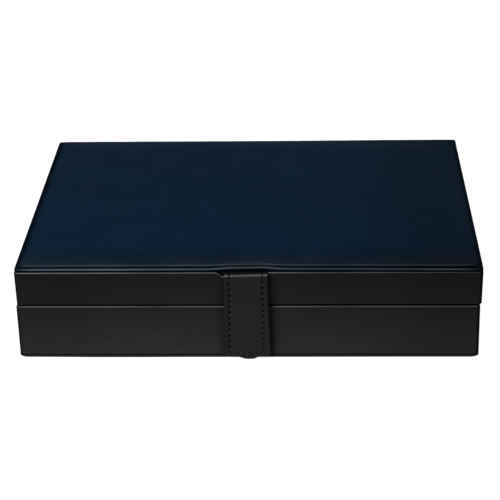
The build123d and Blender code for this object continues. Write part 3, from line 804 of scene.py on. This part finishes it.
finish_nodes(["lid_top_board"], board_finish)
finish_nodes([f"lid_{side}_rail" for side in ("front", "back", "left", "right")], board_finish)

# ---- Leather of the lid's walls ----
# The same leather, turned under the rim and over the top board. Its colour is darker than the
# base's: painted shade continuing the walls' darkening upwards. At the strap's left side it is
# drawn in, where the tongue pulls it down under the panel, and that hollow is darkened as painted
# shade.

LID_LOW, LID_TOP = 36.85, 59.05
LID_CORNER, LID_EDGE = 2.0, 0.7
LID_RIM_INSIDE, LID_TURNED_OVER = -5.75, -8.72
# painted shade in the gaps under the panel's lip and above the base, and in the hollow by the strap
LID_SHADE, GAP_SHADE = 0.85, 0.9
LID_LEAF_HIGH = 37.4
DRAWN_FROM, DRAWN_OVER, DRAWN_DOWN = -20.2, 4.2, 2.7  # where the edge dips, how far on, how deep
LID_SPANS = [(-138, -30, 9), (-26, -13, 0.5), (-12, 12, 4), (13, 22, 1.5), (26, 138, 9)]
LID_XS = sorted({x for span in LID_SPANS for x in spaced(*span)} | HINGE_EDGES | NEAR_CORNERS)
LID_YS = spaced(-108, 108, 9)


def drawn_down(x):
    """How far the wall's upper edge dips beside and behind the strap."""
    t = max(0.0, min(1.0, (x - DRAWN_FROM) / DRAWN_OVER))
    return DRAWN_DOWN * t**1.7 * (1 - smooth(8.0, 11.5, x))


def cover_lid():
    """The walls' leather as one closed skin."""
    outside = [(LID_RIM_INSIDE, 37.4), (-5.6, 37.0), (-5.2, LID_LOW), (-3, LID_LOW)]
    outside += quarter_round((-LID_EDGE, LID_LOW + LID_EDGE), LID_EDGE, -90, 0)
    outside += [(0, z) for z in (41.0, 46.0, 51.0, 53.5, 54.8, 55.4, 56.0, 56.5, 57.0, 57.5, 58.0)]
    outside += quarter_round((-LID_EDGE, LID_TOP - LID_EDGE), LID_EDGE, 0, 90, 6)
    dipped = len(outside)
    outside += [(-0.74, LID_TOP), (-0.77, LID_TOP), (-1.0, LID_TOP)]
    outside += [(-3.5, LID_TOP), (-8.5, LID_TOP), (LID_TURNED_OVER, LID_TOP - 0.2)]
    under = LID_TOP - SKIN + 0.03
    inside = [(LID_TURNED_OVER, under), (-SKIN - 0.02, under)]
    inside += [(-SKIN - 0.02, LID_LOW + SKIN), (LID_RIM_INSIDE, LID_LOW + SKIN)]
    turns, wear_and_highlight, darkened = [], [], []
    for number, (out, z) in enumerate(outside + inside):
        skin_out = number < len(outside)
        # the upper edge is paler as painted highlight with wear; tucked places get painted shade:
        # the foot in the gap above the base and the top under the panel's lip
        edge = skin_out and -0.55 * LID_EDGE < out < -0.02 and z > 50
        tucked = z < LID_LOW + 0.6 or (z > 50 and -4 < out <= -0.85 * LID_EDGE)
        shaded = LID_SHADE if skin_out and tucked else 0.0
        turn = []
        for x, y, height in round_the_box(BASE_HALF, out, LID_CORNER + out, z, LID_XS, LID_YS):
            marks = wall_highlight_and_shade(x, y, skin_out, edge, shaded, 0.4, (0.4, 0.26))
            # the hollow beside the strap is darkened as painted shade
            gaping = y < FRONT_WALL and dipped <= number <= dipped + 2 and drawn_down(x) > 0.1
            wear_and_highlight.append(marks[0])
            darkened.append(GAP_SHADE if gaping else marks[1])
            if y < FRONT_WALL and number <= dipped:
                height -= drawn_down(x) * smooth(52, 57, height)
            if skin_out and over_hinge(x, y) and height < LID_LEAF_HIGH + 0.01:
                height = LID_LEAF_HIGH + 0.02
            if skin_out:
                up = (height - LID_LOW) / (LID_TOP - LID_LOW)
                x -= smooth(110, 140, -x) * (0.1 + 0.6 * up)
                x += smooth(110, 140, x) * (0.8 + 0.4 * up)
            turn.append((x, y, height))
        turns.append(turn)
    points, faces = stretch_over(turns, closed=True)
    return make_up("lid_leather_cover", points, faces, lid_hide, "lid", wear_and_highlight, darkened)


# darker than the base's as painted shade, paler at the foot as painted light; the last colour is
# for painted highlights with wear
lid_hide = calendered_leather("black_lid_leather", "1F221F", "171917", (LID_LOW, LID_TOP), "737471")
lid_leather = cover_lid()
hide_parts("lid_wall_leather")

# ---- Lining of the lid ----
# Suede glued to the inside of the rails, and a thin foam pad covered in suede under the top. The
# pad is flat where it is glued and soft at its edges.

# how far in and down a turn of the pad lies, in mm for a pad of 2 mm, and its corners' radius
PAD_SECTION = [(0.25, 0.0, 2.0), (0.02, 0.35, 2.2), (0.12, 0.7, 2.2), (0.5, 1.15, 2.0)]
PAD_SECTION += [(1.2, 1.5, 1.5), (2.4, 1.72, 1.0), (4.5, 1.84, 0.5), (8.0, 1.9, 0.02)]


def stuff_lid_pad():
    """The pad, a little fuller in the middle."""
    low, high = in_mm("lid_lining_pad")
    half = (high[0] - 0.1, high[1] - 0.1)
    thick = high[2] - low[2]
    xs = spaced(-half[0] + 12, half[0] - 12, 8)
    ys = spaced(-half[1] + 12, half[1] - 12, 8)
    turns = []
    for inset, drop, radius in PAD_SECTION:
        z = high[2] - thick * drop / 2.0
        turns.append(round_the_box(half, -inset, radius, z, xs, ys))

    def belly(x, y):
        fill = max(0.0, (1 - (x / half[0]) ** 4) * (1 - (y / half[1]) ** 4))
        return high[2] - thick * (0.95 + 0.05 * fill)

    points, faces, _ = fill_field(turns, xs, ys, belly)
    faces.append(tuple(range(len(turns[0]))))
    shaped = []
    for x, y, z in points:
        soft = abs(wave(x, y, 0, 30, 0.12)) if z < high[2] - 1 else 0
        shaped.append((x, y, z + soft))
    pad = make_up("lid_suede_pad", shaped, faces, suede, "lid")
    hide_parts("lid_lining_pad")


stuff_lid_pad()
finish_nodes(["lid_wall_lining"], suede)

# ---- Padded top panel ----
# Navy leather stretched over foam and a card, turned under and glued on the lid. A narrow flat
# border runs round it, then a crease, and inside that the padding rises to a soft shoulder.
# The strap's tongue lifts its front edge a little, and more loosely to the right of the strap.

# Its lip and shoulder carry painted highlights with wear, its crease, sides and back painted shade;
# it is darker towards the right and the front as painted shade, with a painted sheen on the front.
PANEL_HALF = (145.5, 117.4)
PANEL_LOW, LIP_TOP, PANEL_TOP = 59.6, 61.5, 63.4
LIP_EDGE = 0.6
NAVY = "051D31"
PANEL_XS = spaced(-132, -44, 6) + spaced(-40, 40, 2.5) + spaced(46, 132, 6)
PANEL_YS = spaced(-102, 102, 6)
# how far the front edge is lifted at places along it, from left to right
FRONT_LIFT = [(-146, 0.0), (-72, 0.0), (-29, 0.04), (-23, 0.14), (-20.5, 0.27), (-18, 0.5)]
FRONT_LIFT += [(-15.6, 0.68), (-13, 0.88), (-10.6, 1.02), (-8, 1.10), (-1, 1.13), (3, 1.25)]
FRONT_LIFT += [(8, 1.35), (11.8, 1.2), (14.3, 0.86), (16.8, 0.60), (20, 0.46), (27, 0.28)]
FRONT_LIFT += [(36, 0.20), (64, 0.12), (73, 0.0), (83, -0.1), (111, -0.3), (146, -0.5)]


def bell(value, middle, width):
    """One at the middle, and falling off to nought on both sides."""
    return math.exp(-(((value - middle) / width) ** 2))


def lifted(x, y):
    """How far the panel's front and back edges stand up above where they would lie."""
    rise = FRONT_LIFT[-1][1]
    for before, here in zip(FRONT_LIFT, FRONT_LIFT[1:]):
        if x <= here[0]:
            t = (x - before[0]) / (here[0] - before[0])
            rise = before[1] + (here[1] - before[1]) * t
            break
    inward = max(0.0, 1 - (y + PANEL_HALF[1]) / 10)
    at_back = max(0.0, 1 - (PANEL_HALF[1] - y) / 10)
    return rise * inward**1.2 + (0.5 * smooth(10, 110, x) - 0.15) * at_back


def panel_corner(out):
    """The radius of the panel's corners at a distance out: the lip, the border, the ridge of the
    padding, and the padding inside it."""
    for reach, radius in ((-1.1, 2.2 + out), (-2.9, 1.5), (-5.2, 2.4), (-10, 1.5)):
        if out > reach:
            return radius
    return 0.02


def panel_section():
    """The panel's edge from under the lip over the border and up the padding, as (out, z)."""
    section = [(-10.4, PANEL_LOW + 0.02), (-10.15, PANEL_LOW + 0.2), (-9.9, PANEL_LOW + 0.02)]
    section += [(-5, PANEL_LOW)]
    section += quarter_round((-LIP_EDGE, PANEL_LOW + LIP_EDGE), LIP_EDGE, -90, 0)
    section += quarter_round((-LIP_EDGE, LIP_TOP - LIP_EDGE), LIP_EDGE, 0, 90, 6)
    section += [(-1.2, 61.49), (-2.0, 61.43), (-2.6, 61.36), (-2.86, 61.38), (-2.97, 61.5)]
    section += [(-3.0, 61.8)]
    section += quarter_round((-3.85, 61.95), 0.85, 5, 86, 7)
    return section + [(-4.5, 62.86), (-5.5, 62.95), (-7.0, 63.06), (-9.5, 63.2), (-12, 63.3)]


def panel_highlight_and_shade(flat_x, x, y, z, inside, wear_and_highlight, darkened):
    """The paler edge and the darkening of a place on the panel. Its border at the sides and the
    back is darkened as painted shade, the colour is darker towards the right and the front as
    painted shade, the lip's painted highlight is brightest at the left, and a painted sheen lies
    on the front."""
    at_side = 1 - smooth(4.5, 6.5, PANEL_HALF[0] - abs(flat_x))
    at_back = 0.35 * (1 - smooth(4.5, 6.5, PANEL_HALF[1] - y))
    flank = 0.36 * smooth(40, 135, x) + 0.4 * (1 - smooth(-110, -84, y))
    rim = max(0.62 * at_side, at_back) * (1 - smooth(3.9, 6.0, inside)) if z > 60.5 else 0.0
    rim = max(rim, 0.9 * at_side * (1 - smooth(0.5, 1.6, inside)))
    along = 1 - 0.35 * smooth(60, 130, abs(flat_x))
    if inside < 2:
        along = 0.6 + 0.4 * bell(x, -72, 42)
    worn_and_lit = wear_and_highlight * (1 - 0.85 * at_side) * along * (1 - smooth(-114, -110, y))
    painted_sheen = 0.052 * (1 - smooth(-112, -92, y)) if z > LIP_TOP + 0.4 else 0.0
    return max(worn_and_lit, painted_sheen), max(darkened, rim, flank)


def stretch_panel():
    """The panel as one closed, stuffed skin."""
    turns, wear_and_highlight, darkened = [], [], []
    for out, z in panel_section():
        turns.append(round_the_box(PANEL_HALF, out, panel_corner(out), z, PANEL_XS, PANEL_YS))
        # painted highlight, with wear, on the lip's edge and the padding's ridge; painted shade in
        # the crease
        edge = 1.0 if out > -LIP_EDGE and z > 60.9 else 0.0
        ridge = 0.28 if -4.2 < out < -3.1 and z > 62.3 else 0.0
        crease = 0.12 if -3.1 < out < -2.3 and z < 61.9 else 0.0
        wear_and_highlight += [edge + ridge] * len(turns[-1])
        darkened += [crease] * len(turns[-1])
    points, faces, _ = fill_field(turns, PANEL_XS, PANEL_YS, lambda x, y: PANEL_TOP)
    wear_and_highlight += [0.0] * (len(points) - len(wear_and_highlight))
    darkened += [0.0] * (len(points) - len(darkened))
    faces.append(tuple(range(len(turns[0]))))
    shaped = []
    for number, (flat_x, y, z) in enumerate(points):
        inside = min(PANEL_HALF[0] - abs(flat_x), PANEL_HALF[1] - abs(y))
        if z > LIP_TOP - 0.2:
            z += wave(flat_x, y, 0, 34, 0.10) * smooth(4, 14, inside)
            z -= 0.12 * (1 - smooth(12, 26, inside)) * smooth(5, 12, inside)
            if 2.8 < inside < 5.6:
                z += wave(flat_x, y, 0, 7, 0.07, 5.0)
        z += lifted(flat_x, y)
        spread = (-0.45 - 0.65 * y / PANEL_HALF[1]) if flat_x < 0 else 0.55
        x = flat_x + smooth(0, 1, abs(flat_x) / PANEL_HALF[0]) * spread
        worn_and_lit = panel_highlight_and_shade(flat_x, x, y, z, inside, wear_and_highlight[number], darkened[number])
        wear_and_highlight[number], darkened[number] = worn_and_lit
        shaped.append((x, y, z))
    panel = make_up("padded_top_panel", shaped, faces, navy_hide, "lid", wear_and_highlight, darkened)
    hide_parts("top_panel_leather", "top_panel_foam", "top_panel_card")


# the last colour is for the painted highlights of the lip and the shoulder, with wear
navy_hide = calendered_leather(
    "navy_calendered_leather", NAVY, NAVY, (0, PANEL_TOP), "7B7D79", gloss=0.36, sheen=0.01
)
stretch_panel()

# ---- Closing strap ----
# Two layers of black leather glued and stitched together, with a magnet between them. The outer
# one is skived thin where it goes in under the panel, and folds down over the front of the lid.

STRAP_MIDDLE, STRAP_HALF, STRAP_THICK = -0.7, 13.85, 2.6
STRAP_FACE = 119.9  # how far in front of the middle of the box its face is
STRAP_HANGS = -119  # in front of this it hangs, and is sewn
STRAP_TIP, TIP_RISE, TIP_LOBE, TIP_CORNER = 0.2, 1.1, 1.3, 2.6
STITCH_MARGIN, STITCH_TOP = 3.6, 54.0
STITCH_PITCH, STITCH_LENGTH, STITCH_SLANT = 3.9, 2.5, 0.22
THREAD, TWIST = 0.75, 2.2
# the outer face of the leather as (y, z, thickness, degrees that it leans forward from flat)
FOLD = [(-98.0, 59.5, 1.15, 0), (-106.0, 59.5, 1.15, 0), (-114.0, 59.5, 1.15, 2)]
FOLD += [(-115.6, 59.42, 1.2, 8), (-116.6, 59.25, 1.3, 16), (-117.4, 58.94, 1.5, 25)]
FOLD += [(-118.2, 58.52, 1.8, 29), (-118.9, 58.08, 2.05, 34), (-119.2, 57.86, 2.15, 41)]
FOLD += [(-119.42, 57.62, 2.25, 51), (-119.6, 57.32, 2.35, 62), (-119.75, 56.95, 2.45, 72)]
FOLD += [(-119.85, 56.5, 2.52, 80), (-119.89, 56.0, 2.58, 86), (-119.9, 55.4, 2.6, 90)]


def rounded(depth, radius):
    """How high a rounded edge stands at a depth inside it, as a share of its radius."""
    return math.sqrt(max(0.0, 1 - max(0.0, 1 - depth / radius) ** 2))


def tip_height(u):
    """The height of the strap's lower edge at a distance from its middle: it hangs a little lower
    just right of the middle, where it is pulled open by hand."""
    lobe = smooth(2.2, 6.2, abs(u - TIP_LOBE))
    return STRAP_TIP + 1.2 * lobe + TIP_RISE * (min(1.0, abs(u) / STRAP_HALF) ** 2.2)


def strap_half(z):
    """Half the strap's width at a height; it widens a little downwards."""
    return STRAP_HALF + 0.55 * (1 - min(1.0, z / 55))


def from_edge(u, z):
    """How far a place on the strap's face lies inside its outline."""
    half = strap_half(z)
    side, foot = half - abs(u), z - tip_height(u)
    if side < TIP_CORNER and foot < TIP_CORNER:
        return TIP_CORNER - math.hypot(TIP_CORNER - side, TIP_CORNER - foot)
    return min(side, foot)


def stitch_path():
    """The line of the seam as (u, z): down the left side, along the tip and up the right."""
    line = [(-(strap_half(z) - STITCH_MARGIN), z) for z in spaced(STITCH_TOP, 8.2, 0.5)]
    line += [(-10.15, 7.4), (-9.7, 6.75), (-9.0, 6.35)]
    for u in spaced(-8.4, 0, 0.7):
        line.append((u, tip_height(u) + STITCH_MARGIN + 0.9 * (abs(u) / 9) ** 2))
    return line + [(-u, z) for u, z in reversed(line[:-1])]


def stitch_places():
    """Middles and directions of the stitches, and the places of the holes between them."""
    found, holes, gone, wanted = [], [], 0.0, 0.0
    path = stitch_path()
    for (u0, z0), (u1, z1) in zip(path, path[1:]):
        length = math.hypot(u1 - u0, z1 - z0)
        while gone + length >= wanted:
            t = (wanted - gone) / length
            place = (u0 + (u1 - u0) * t, z0 + (z1 - z0) * t)
            if round(wanted / STITCH_PITCH * 2) % 2:
                holes.append(place)
            else:
                found.append((*place, math.atan2(z1 - z0, u1 - u0)))
            wanted += STITCH_PITCH / 2
        gone += length
    return found, holes


def sewn_relief(u, z):
    """The face's height and darkness: a channel for the seam, with a pit at each needle hole. The
    darkness is painted shade in the channel, the crease along the edge and the holes.
    """
    inside = from_edge(u, z)
    channel = bell(inside, STITCH_MARGIN, 0.55) if z < STITCH_TOP + 1 else 0
    height = 0.12 * smooth(STITCH_MARGIN, STITCH_MARGIN + 3, inside) - 0.28 * channel
    height += 0.10 * bell(inside, 1.9, 0.8)
    pit = 0.0
    if abs(inside - STITCH_MARGIN) < 1.6:
        for hole in HOLES:
            near = math.hypot(u - hole[0], z - hole[1])
            pit = max(pit, 1 - smooth(0.45, 1.15, near))
    crease = bell(inside, 2.5, 0.35)
    pulled = 1 - 0.35 * smooth(34, 22, z) * smooth(0, 5, u)
    open_hole = pit * (0.35 + 0.5 * smooth(6.5, 10, z)) * pulled
    # painted shade in the holes, the channel and the crease
    dark = max(open_hole, 0.25 * channel, 0.25 * crease)
    return height - 0.7 * open_hole - 0.06 * crease, dark


def strap_front(y, z, half, thick, hung):
    """The face across the strap, from left to right, as places (across, out) and their ink."""
    edges = [0.0, 0.06, 0.2, 0.42, 0.7, 1.0, 1.4, 1.9, 2.3, 2.6, 2.85, 3.1, 3.35, 3.6, 3.85, 4.1]
    edges += [4.35, 4.6, 5.0] + spaced(5.5, 13.5, 0.6)
    row = []
    for side in (-1, 1):
        part = []
        for e in edges:
            u = side * (half - e * half / STRAP_HALF)
            depth = max(0.0, min(from_edge(u, z + hung * tip_height(u)) if z < 20 else e, 3.0))
            v, dark = thick * (0.52 * rounded(depth, 0.9) - 0.52), 0.0
            # a dark groove above the seam, painted shade
            if z > STITCH_TOP + 0.5:
                dark = 0.95 * bell(e, STITCH_MARGIN, 0.5)
                v -= 0.35 * dark
            if z < 57.5 and y < STRAP_HANGS:
                relief, seamed = sewn_relief(u, z + hung * tip_height(u))
                # painted shade in the seam, with a darker left margin; the cut edges are darker too
                dark = max(dark, seamed, 0.22 * smooth(9.0, 10.2, -u))
                v += relief * min(1.0, depth / 0.9)
            part.append((u, v, max(dark, 0.75 * (1 - smooth(0.1, 0.9, depth)))))
        row += part if side < 0 else part[::-1]
    return row


def strap_back(y, z, half, thick, hung):
    """The lining side across the strap, from right to left, in the same way."""
    low = -thick * (0.6 + 0.4 * smooth(0, 0.8, z))
    rim = [(half - 0.12, low * 0.6, 0.9), (half - 0.02, low * 0.68, 0.6)]
    rim += [(half - 0.16, low * 0.86, 0.6), (half - 0.6, low * 0.98, 0.3)]
    across = [half / 2] + [half - e for e in (5.2, 4.8, 4.4, 4.0, 3.6, 3.2, 2.8, 2.4, 1.8)]
    row = list(rim)
    for u in across[::-1] + [0] + [-u for u in across]:
        relief, dark = 0.0, 0.0
        if z < STITCH_TOP + 0.5 and y < STRAP_HANGS:
            relief, dark = sewn_relief(u, z + hung * tip_height(u))
        row.append((u, low - min(0.0, relief), dark))
    return row + [(-u, v, dark) for u, v, dark in reversed(rim)]


def cut_strap():
    """The strap with its fold and tongue, as one closed piece."""
    tip = [2.2, 1.9, 1.6, 1.3, 1.05, 0.85, 0.65, 0.48, 0.34, 0.22, 0.12, 0.05, 0.0]
    stations = FOLD + [(-STRAP_FACE, z, STRAP_THICK, 90) for z in spaced(54.9, 2.6, 0.42) + tip]
    turns, darkened, wear_and_highlight = [], [], []
    for y, z, thick, bent in stations:
        lean = math.radians(bent)
        out = Vector((0, -math.sin(lean), math.cos(lean)))
        cut = TIP_CORNER * (1 - rounded(z, TIP_CORNER))
        half = (strap_half(z) if z < 55 else STRAP_HALF) - 0.92 * cut
        skew = 0.35 * smooth(54, 57.5, z) * smooth(114, 118, -y)
        hung = 1 - smooth(0, 16, z)
        # the fold is paler as painted highlight with wear, and the top under the panel's lip is
        # darkened as painted shade
        folded = smooth(30, 38, bent) * (1 - smooth(50, 60, bent))
        tucked = 0.85 * (1 - smooth(24, 34, bent))
        turn = []
        for side in (strap_front, strap_back):
            for u, v, dark in side(y, z, half, thick, hung):
                lift = skew * u / STRAP_HALF + hung * tip_height(u)
                pulled = 0.8 * smooth(10.9, 14.2, u) * (1 - smooth(8, 42, z))
                turn.append(tuple(Vector((STRAP_MIDDLE + u + pulled, y, z + lift)) + out * v))
                darkened.append(min(1.0, max(dark, tucked)))
                wear_and_highlight.append(folded * (1 - dark) if v > -thick * 0.5 else 0.0)
        turns.append(turn)
    points, faces = stretch_over(turns, capped=True)
    strap = make_up("closing_strap", points, faces, strap_hide, None, wear_and_highlight, darkened)
    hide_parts("strap_outer_leather", "strap_lining_leather", "strap_tongue")
    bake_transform(strap)


def waxed_thread():
    """Waxed polyester thread, two plies twisted: black, with a paler band on each turn as a painted
    highlight.
    """
    plain = {"Roughness": 0.45, "Specular IOR Level": 0.08}
    made, tree, shader, place = new_finish("waxed_polyester_thread", plain)
    bands = {"Vector": place, "Scale": 1 / (TWIST * MM), "Distortion": 1.0}
    plies = add_node(tree, "ShaderNodeTexWave", bands, bands_direction="DIAGONAL").outputs["Fac"]
    stain(tree, shader, plies, dyed("1A1B1A"), dyed("303130"))
    emboss(tree, shader, plies, 0.08, 0.6)
    return made


def sew_strap():
    """Each stitch is a short piece of thread that dives into the leather at both ends, on the
    face of the strap and on its back."""
    points, faces = [], []
    # the height of their middles over each side, and how deep their ends dive
    front = [(*stitch, 0.12 - STRAP_FACE, 0.5) for stitch in STITCHES]
    back = [(*stitch, STRAP_THICK - 0.15 - STRAP_FACE, -0.5) for stitch in STITCHES]
    for x, z, angle, level, dive in front + back:
        along = Vector((math.cos(angle), 0, math.sin(angle)))
        aside = Vector((-math.sin(angle), 0, math.cos(angle)))
        turns = []
        for k in range(9):
            t = k / 4 - 1
            thick = THREAD / 2 * (0.5 + 0.5 * math.sqrt(max(0.0, 1 - t * t)))
            middle = Vector((STRAP_MIDDLE + x, level, z)) + along * (t * STITCH_LENGTH / 2)
            middle += aside * (STITCH_SLANT * t) + Vector((0, dive * t * t, 0))
            turn = []
            for a in [math.pi * i / 4 for i in range(8)]:
                round_it = Vector((0, -thick * math.sin(a), 0))
                turn.append(tuple(middle + aside * (thick * math.cos(a)) + round_it))
            turns.append(turn)
        start = len(points)
        more, skin = stretch_over(turns, capped=True)
        points += more
        faces += [tuple(start + index for index in face) for face in skin]
    seam = make_up("strap_seam", points, faces, waxed_thread(), "strap")
    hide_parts("strap_stitches")


STITCHES, HOLES = stitch_places()
# paler at the foot as painted light; the last colour is for the painted highlight of the fold, with
# wear
strap_hide = calendered_leather("black_strap_leather", "252624", "202320", (0, 55), "747672")
cut_strap()
sew_strap()

# ---- Drawer ----
# A light tray of thin board under black paper, lined with suede, behind a leather-covered front.
# Its pull is a folded tab of leather, creased round, that comes out through a slit in the front.

FRONT_X, FRONT_HALF, FRONT_MIDDLE = (139.0, 145.0), (105.7, 7.75), 14.25
SLIT_HALF, SLIT_SIDE = (11.05, 1.25), 11.6
PULL_HALF, PULL_THICK = 10.95, 1.15
PULL_END, PULL_ROUND = 153.0, 4.5
PAPER_FIBRE = 0.8


def kraft_covering():
    """Black bookbinding paper: matt, with a faint felted surface."""
    made, tree, shader, place = new_finish("black_covering_paper", {"Roughness": 0.75})
    felted = specks(tree, place, PAPER_FIBRE, 4.0)
    stain(tree, shader, felted, dyed("1A1A1B"), dyed("29292A"))
    emboss(tree, shader, felted, 0.04, 0.4)
    return made


def cover_drawer_front():
    """The front's leather: soft edges, a slit for the pull, and turned in behind."""
    xs = sorted(set(spaced(-98, 98, 8)) | {-SLIT_SIDE, SLIT_SIDE})
    ys = [-4.0, -1.75, 1.75, 4.0]
    inner, face = FRONT_X[0] + 0.05, FRONT_X[1]
    section = [(-6.0, inner), (-0.3, inner), (0.0, inner + 0.3), (0.0, 142.0), (0.0, 143.6)]
    section += [(-0.12, 144.2), (-0.42, 144.66), (-0.85, 144.93), (-1.5, face), (-2.4, face)]
    turns, wear_and_highlight = [], []
    for out, depth in section:
        turns.append(round_the_box(FRONT_HALF, out, 1.0 + out, depth, xs, ys))
        # the rounded edges are paler: painted highlight with wear
        wear_and_highlight += [0.9 if -1.6 < out < -0.05 and depth > 144 else 0.0] * len(turns[-1])
    slit = (xs.index(-SLIT_SIDE) + 1, xs.index(SLIT_SIDE) + 1, 2, 3)
    points, faces, loop = fill_field(turns, xs, ys, lambda x, y: face, skip=slit)
    points = [(z, x, y + FRONT_MIDDLE) for x, y, z in points]
    steps = [(0.35, 144.98), (0.15, 144.85), (0.02, 144.6), (0.0, 144.25)]
    turned_through(points, faces, loop, [], (0, FRONT_MIDDLE), SLIT_HALF, steps)
    faces.append(tuple(range(len(turns[0]))))
    # the front is darkened: painted shade towards the right-hand end
    darkened = [0.3] * len(points)
    front = make_up("drawer_front_cover", points, faces, base_hide, "drawer", wear_and_highlight, darkened)
    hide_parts("drawer_front_leather")


def pull_half(x):
    """Half the tab's width at a distance out of the front."""
    return PULL_HALF - PULL_ROUND * (1 - rounded(PULL_END - x, PULL_ROUND))


def fold_pull():
    """The tab: two layers, fuller inside the crease, with a rounded end."""
    xs = spaced(144.25, 148.4, 0.5) + [148.9, 149.4, 149.9, 150.3, 150.7, 151.2, 151.7, 152.1]
    xs += [152.5, 152.75, 152.9, 152.97]
    turns = []
    for x in xs:
        half = pull_half(x)
        end = math.sqrt(max(0.03, 1 - max(0.0, (x - (PULL_END - 0.9)) / 0.9) ** 2))
        upper = []
        for e in (0.0, 0.08, 0.3, 0.7, 1.2, 1.7, 2.0, 2.3, 2.8, 4.0, 7.0):
            e *= half / PULL_HALF
            v = 0.08 + (PULL_THICK - 0.08) * rounded(e, 0.8)
            v -= 0.22 * bell(min(e, PULL_END - x), 2.0, 0.35)
            upper.append((-half + e, v * end))
        upper += [(-u, v) for u, v in reversed(upper)]
        lower = [(u, -v) for u, v in reversed(upper)]
        turns.append([(x, u, FRONT_MIDDLE + v) for u, v in upper + lower])
    points, faces = stretch_over(turns, capped=True)
    tab = make_up("drawer_pull_tab", points, faces, strap_hide, "drawer")
    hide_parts("drawer_pull")


papered = [f"drawer_{part}" for part in ("bottom", "side_front", "side_back", "inner_end")]
finish_nodes(papered, kraft_covering())
finish_nodes(["drawer_front_board"], board_finish)
finish_nodes(["drawer_lining"], suede)
cover_drawer_front()
fold_pull()
low, high = in_mm("drawer_divider_long")
part = wrapped_divider("drawer_long_divider", low, high, "drawer")
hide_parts("drawer_divider_long")
pitch = (high[0] - low[0] + DIVIDER) / 3
part = part_bays("drawer_cross_divider", "drawer_cross_dividers", "drawer", 0, low[0], pitch)
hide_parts("drawer_cross_dividers")
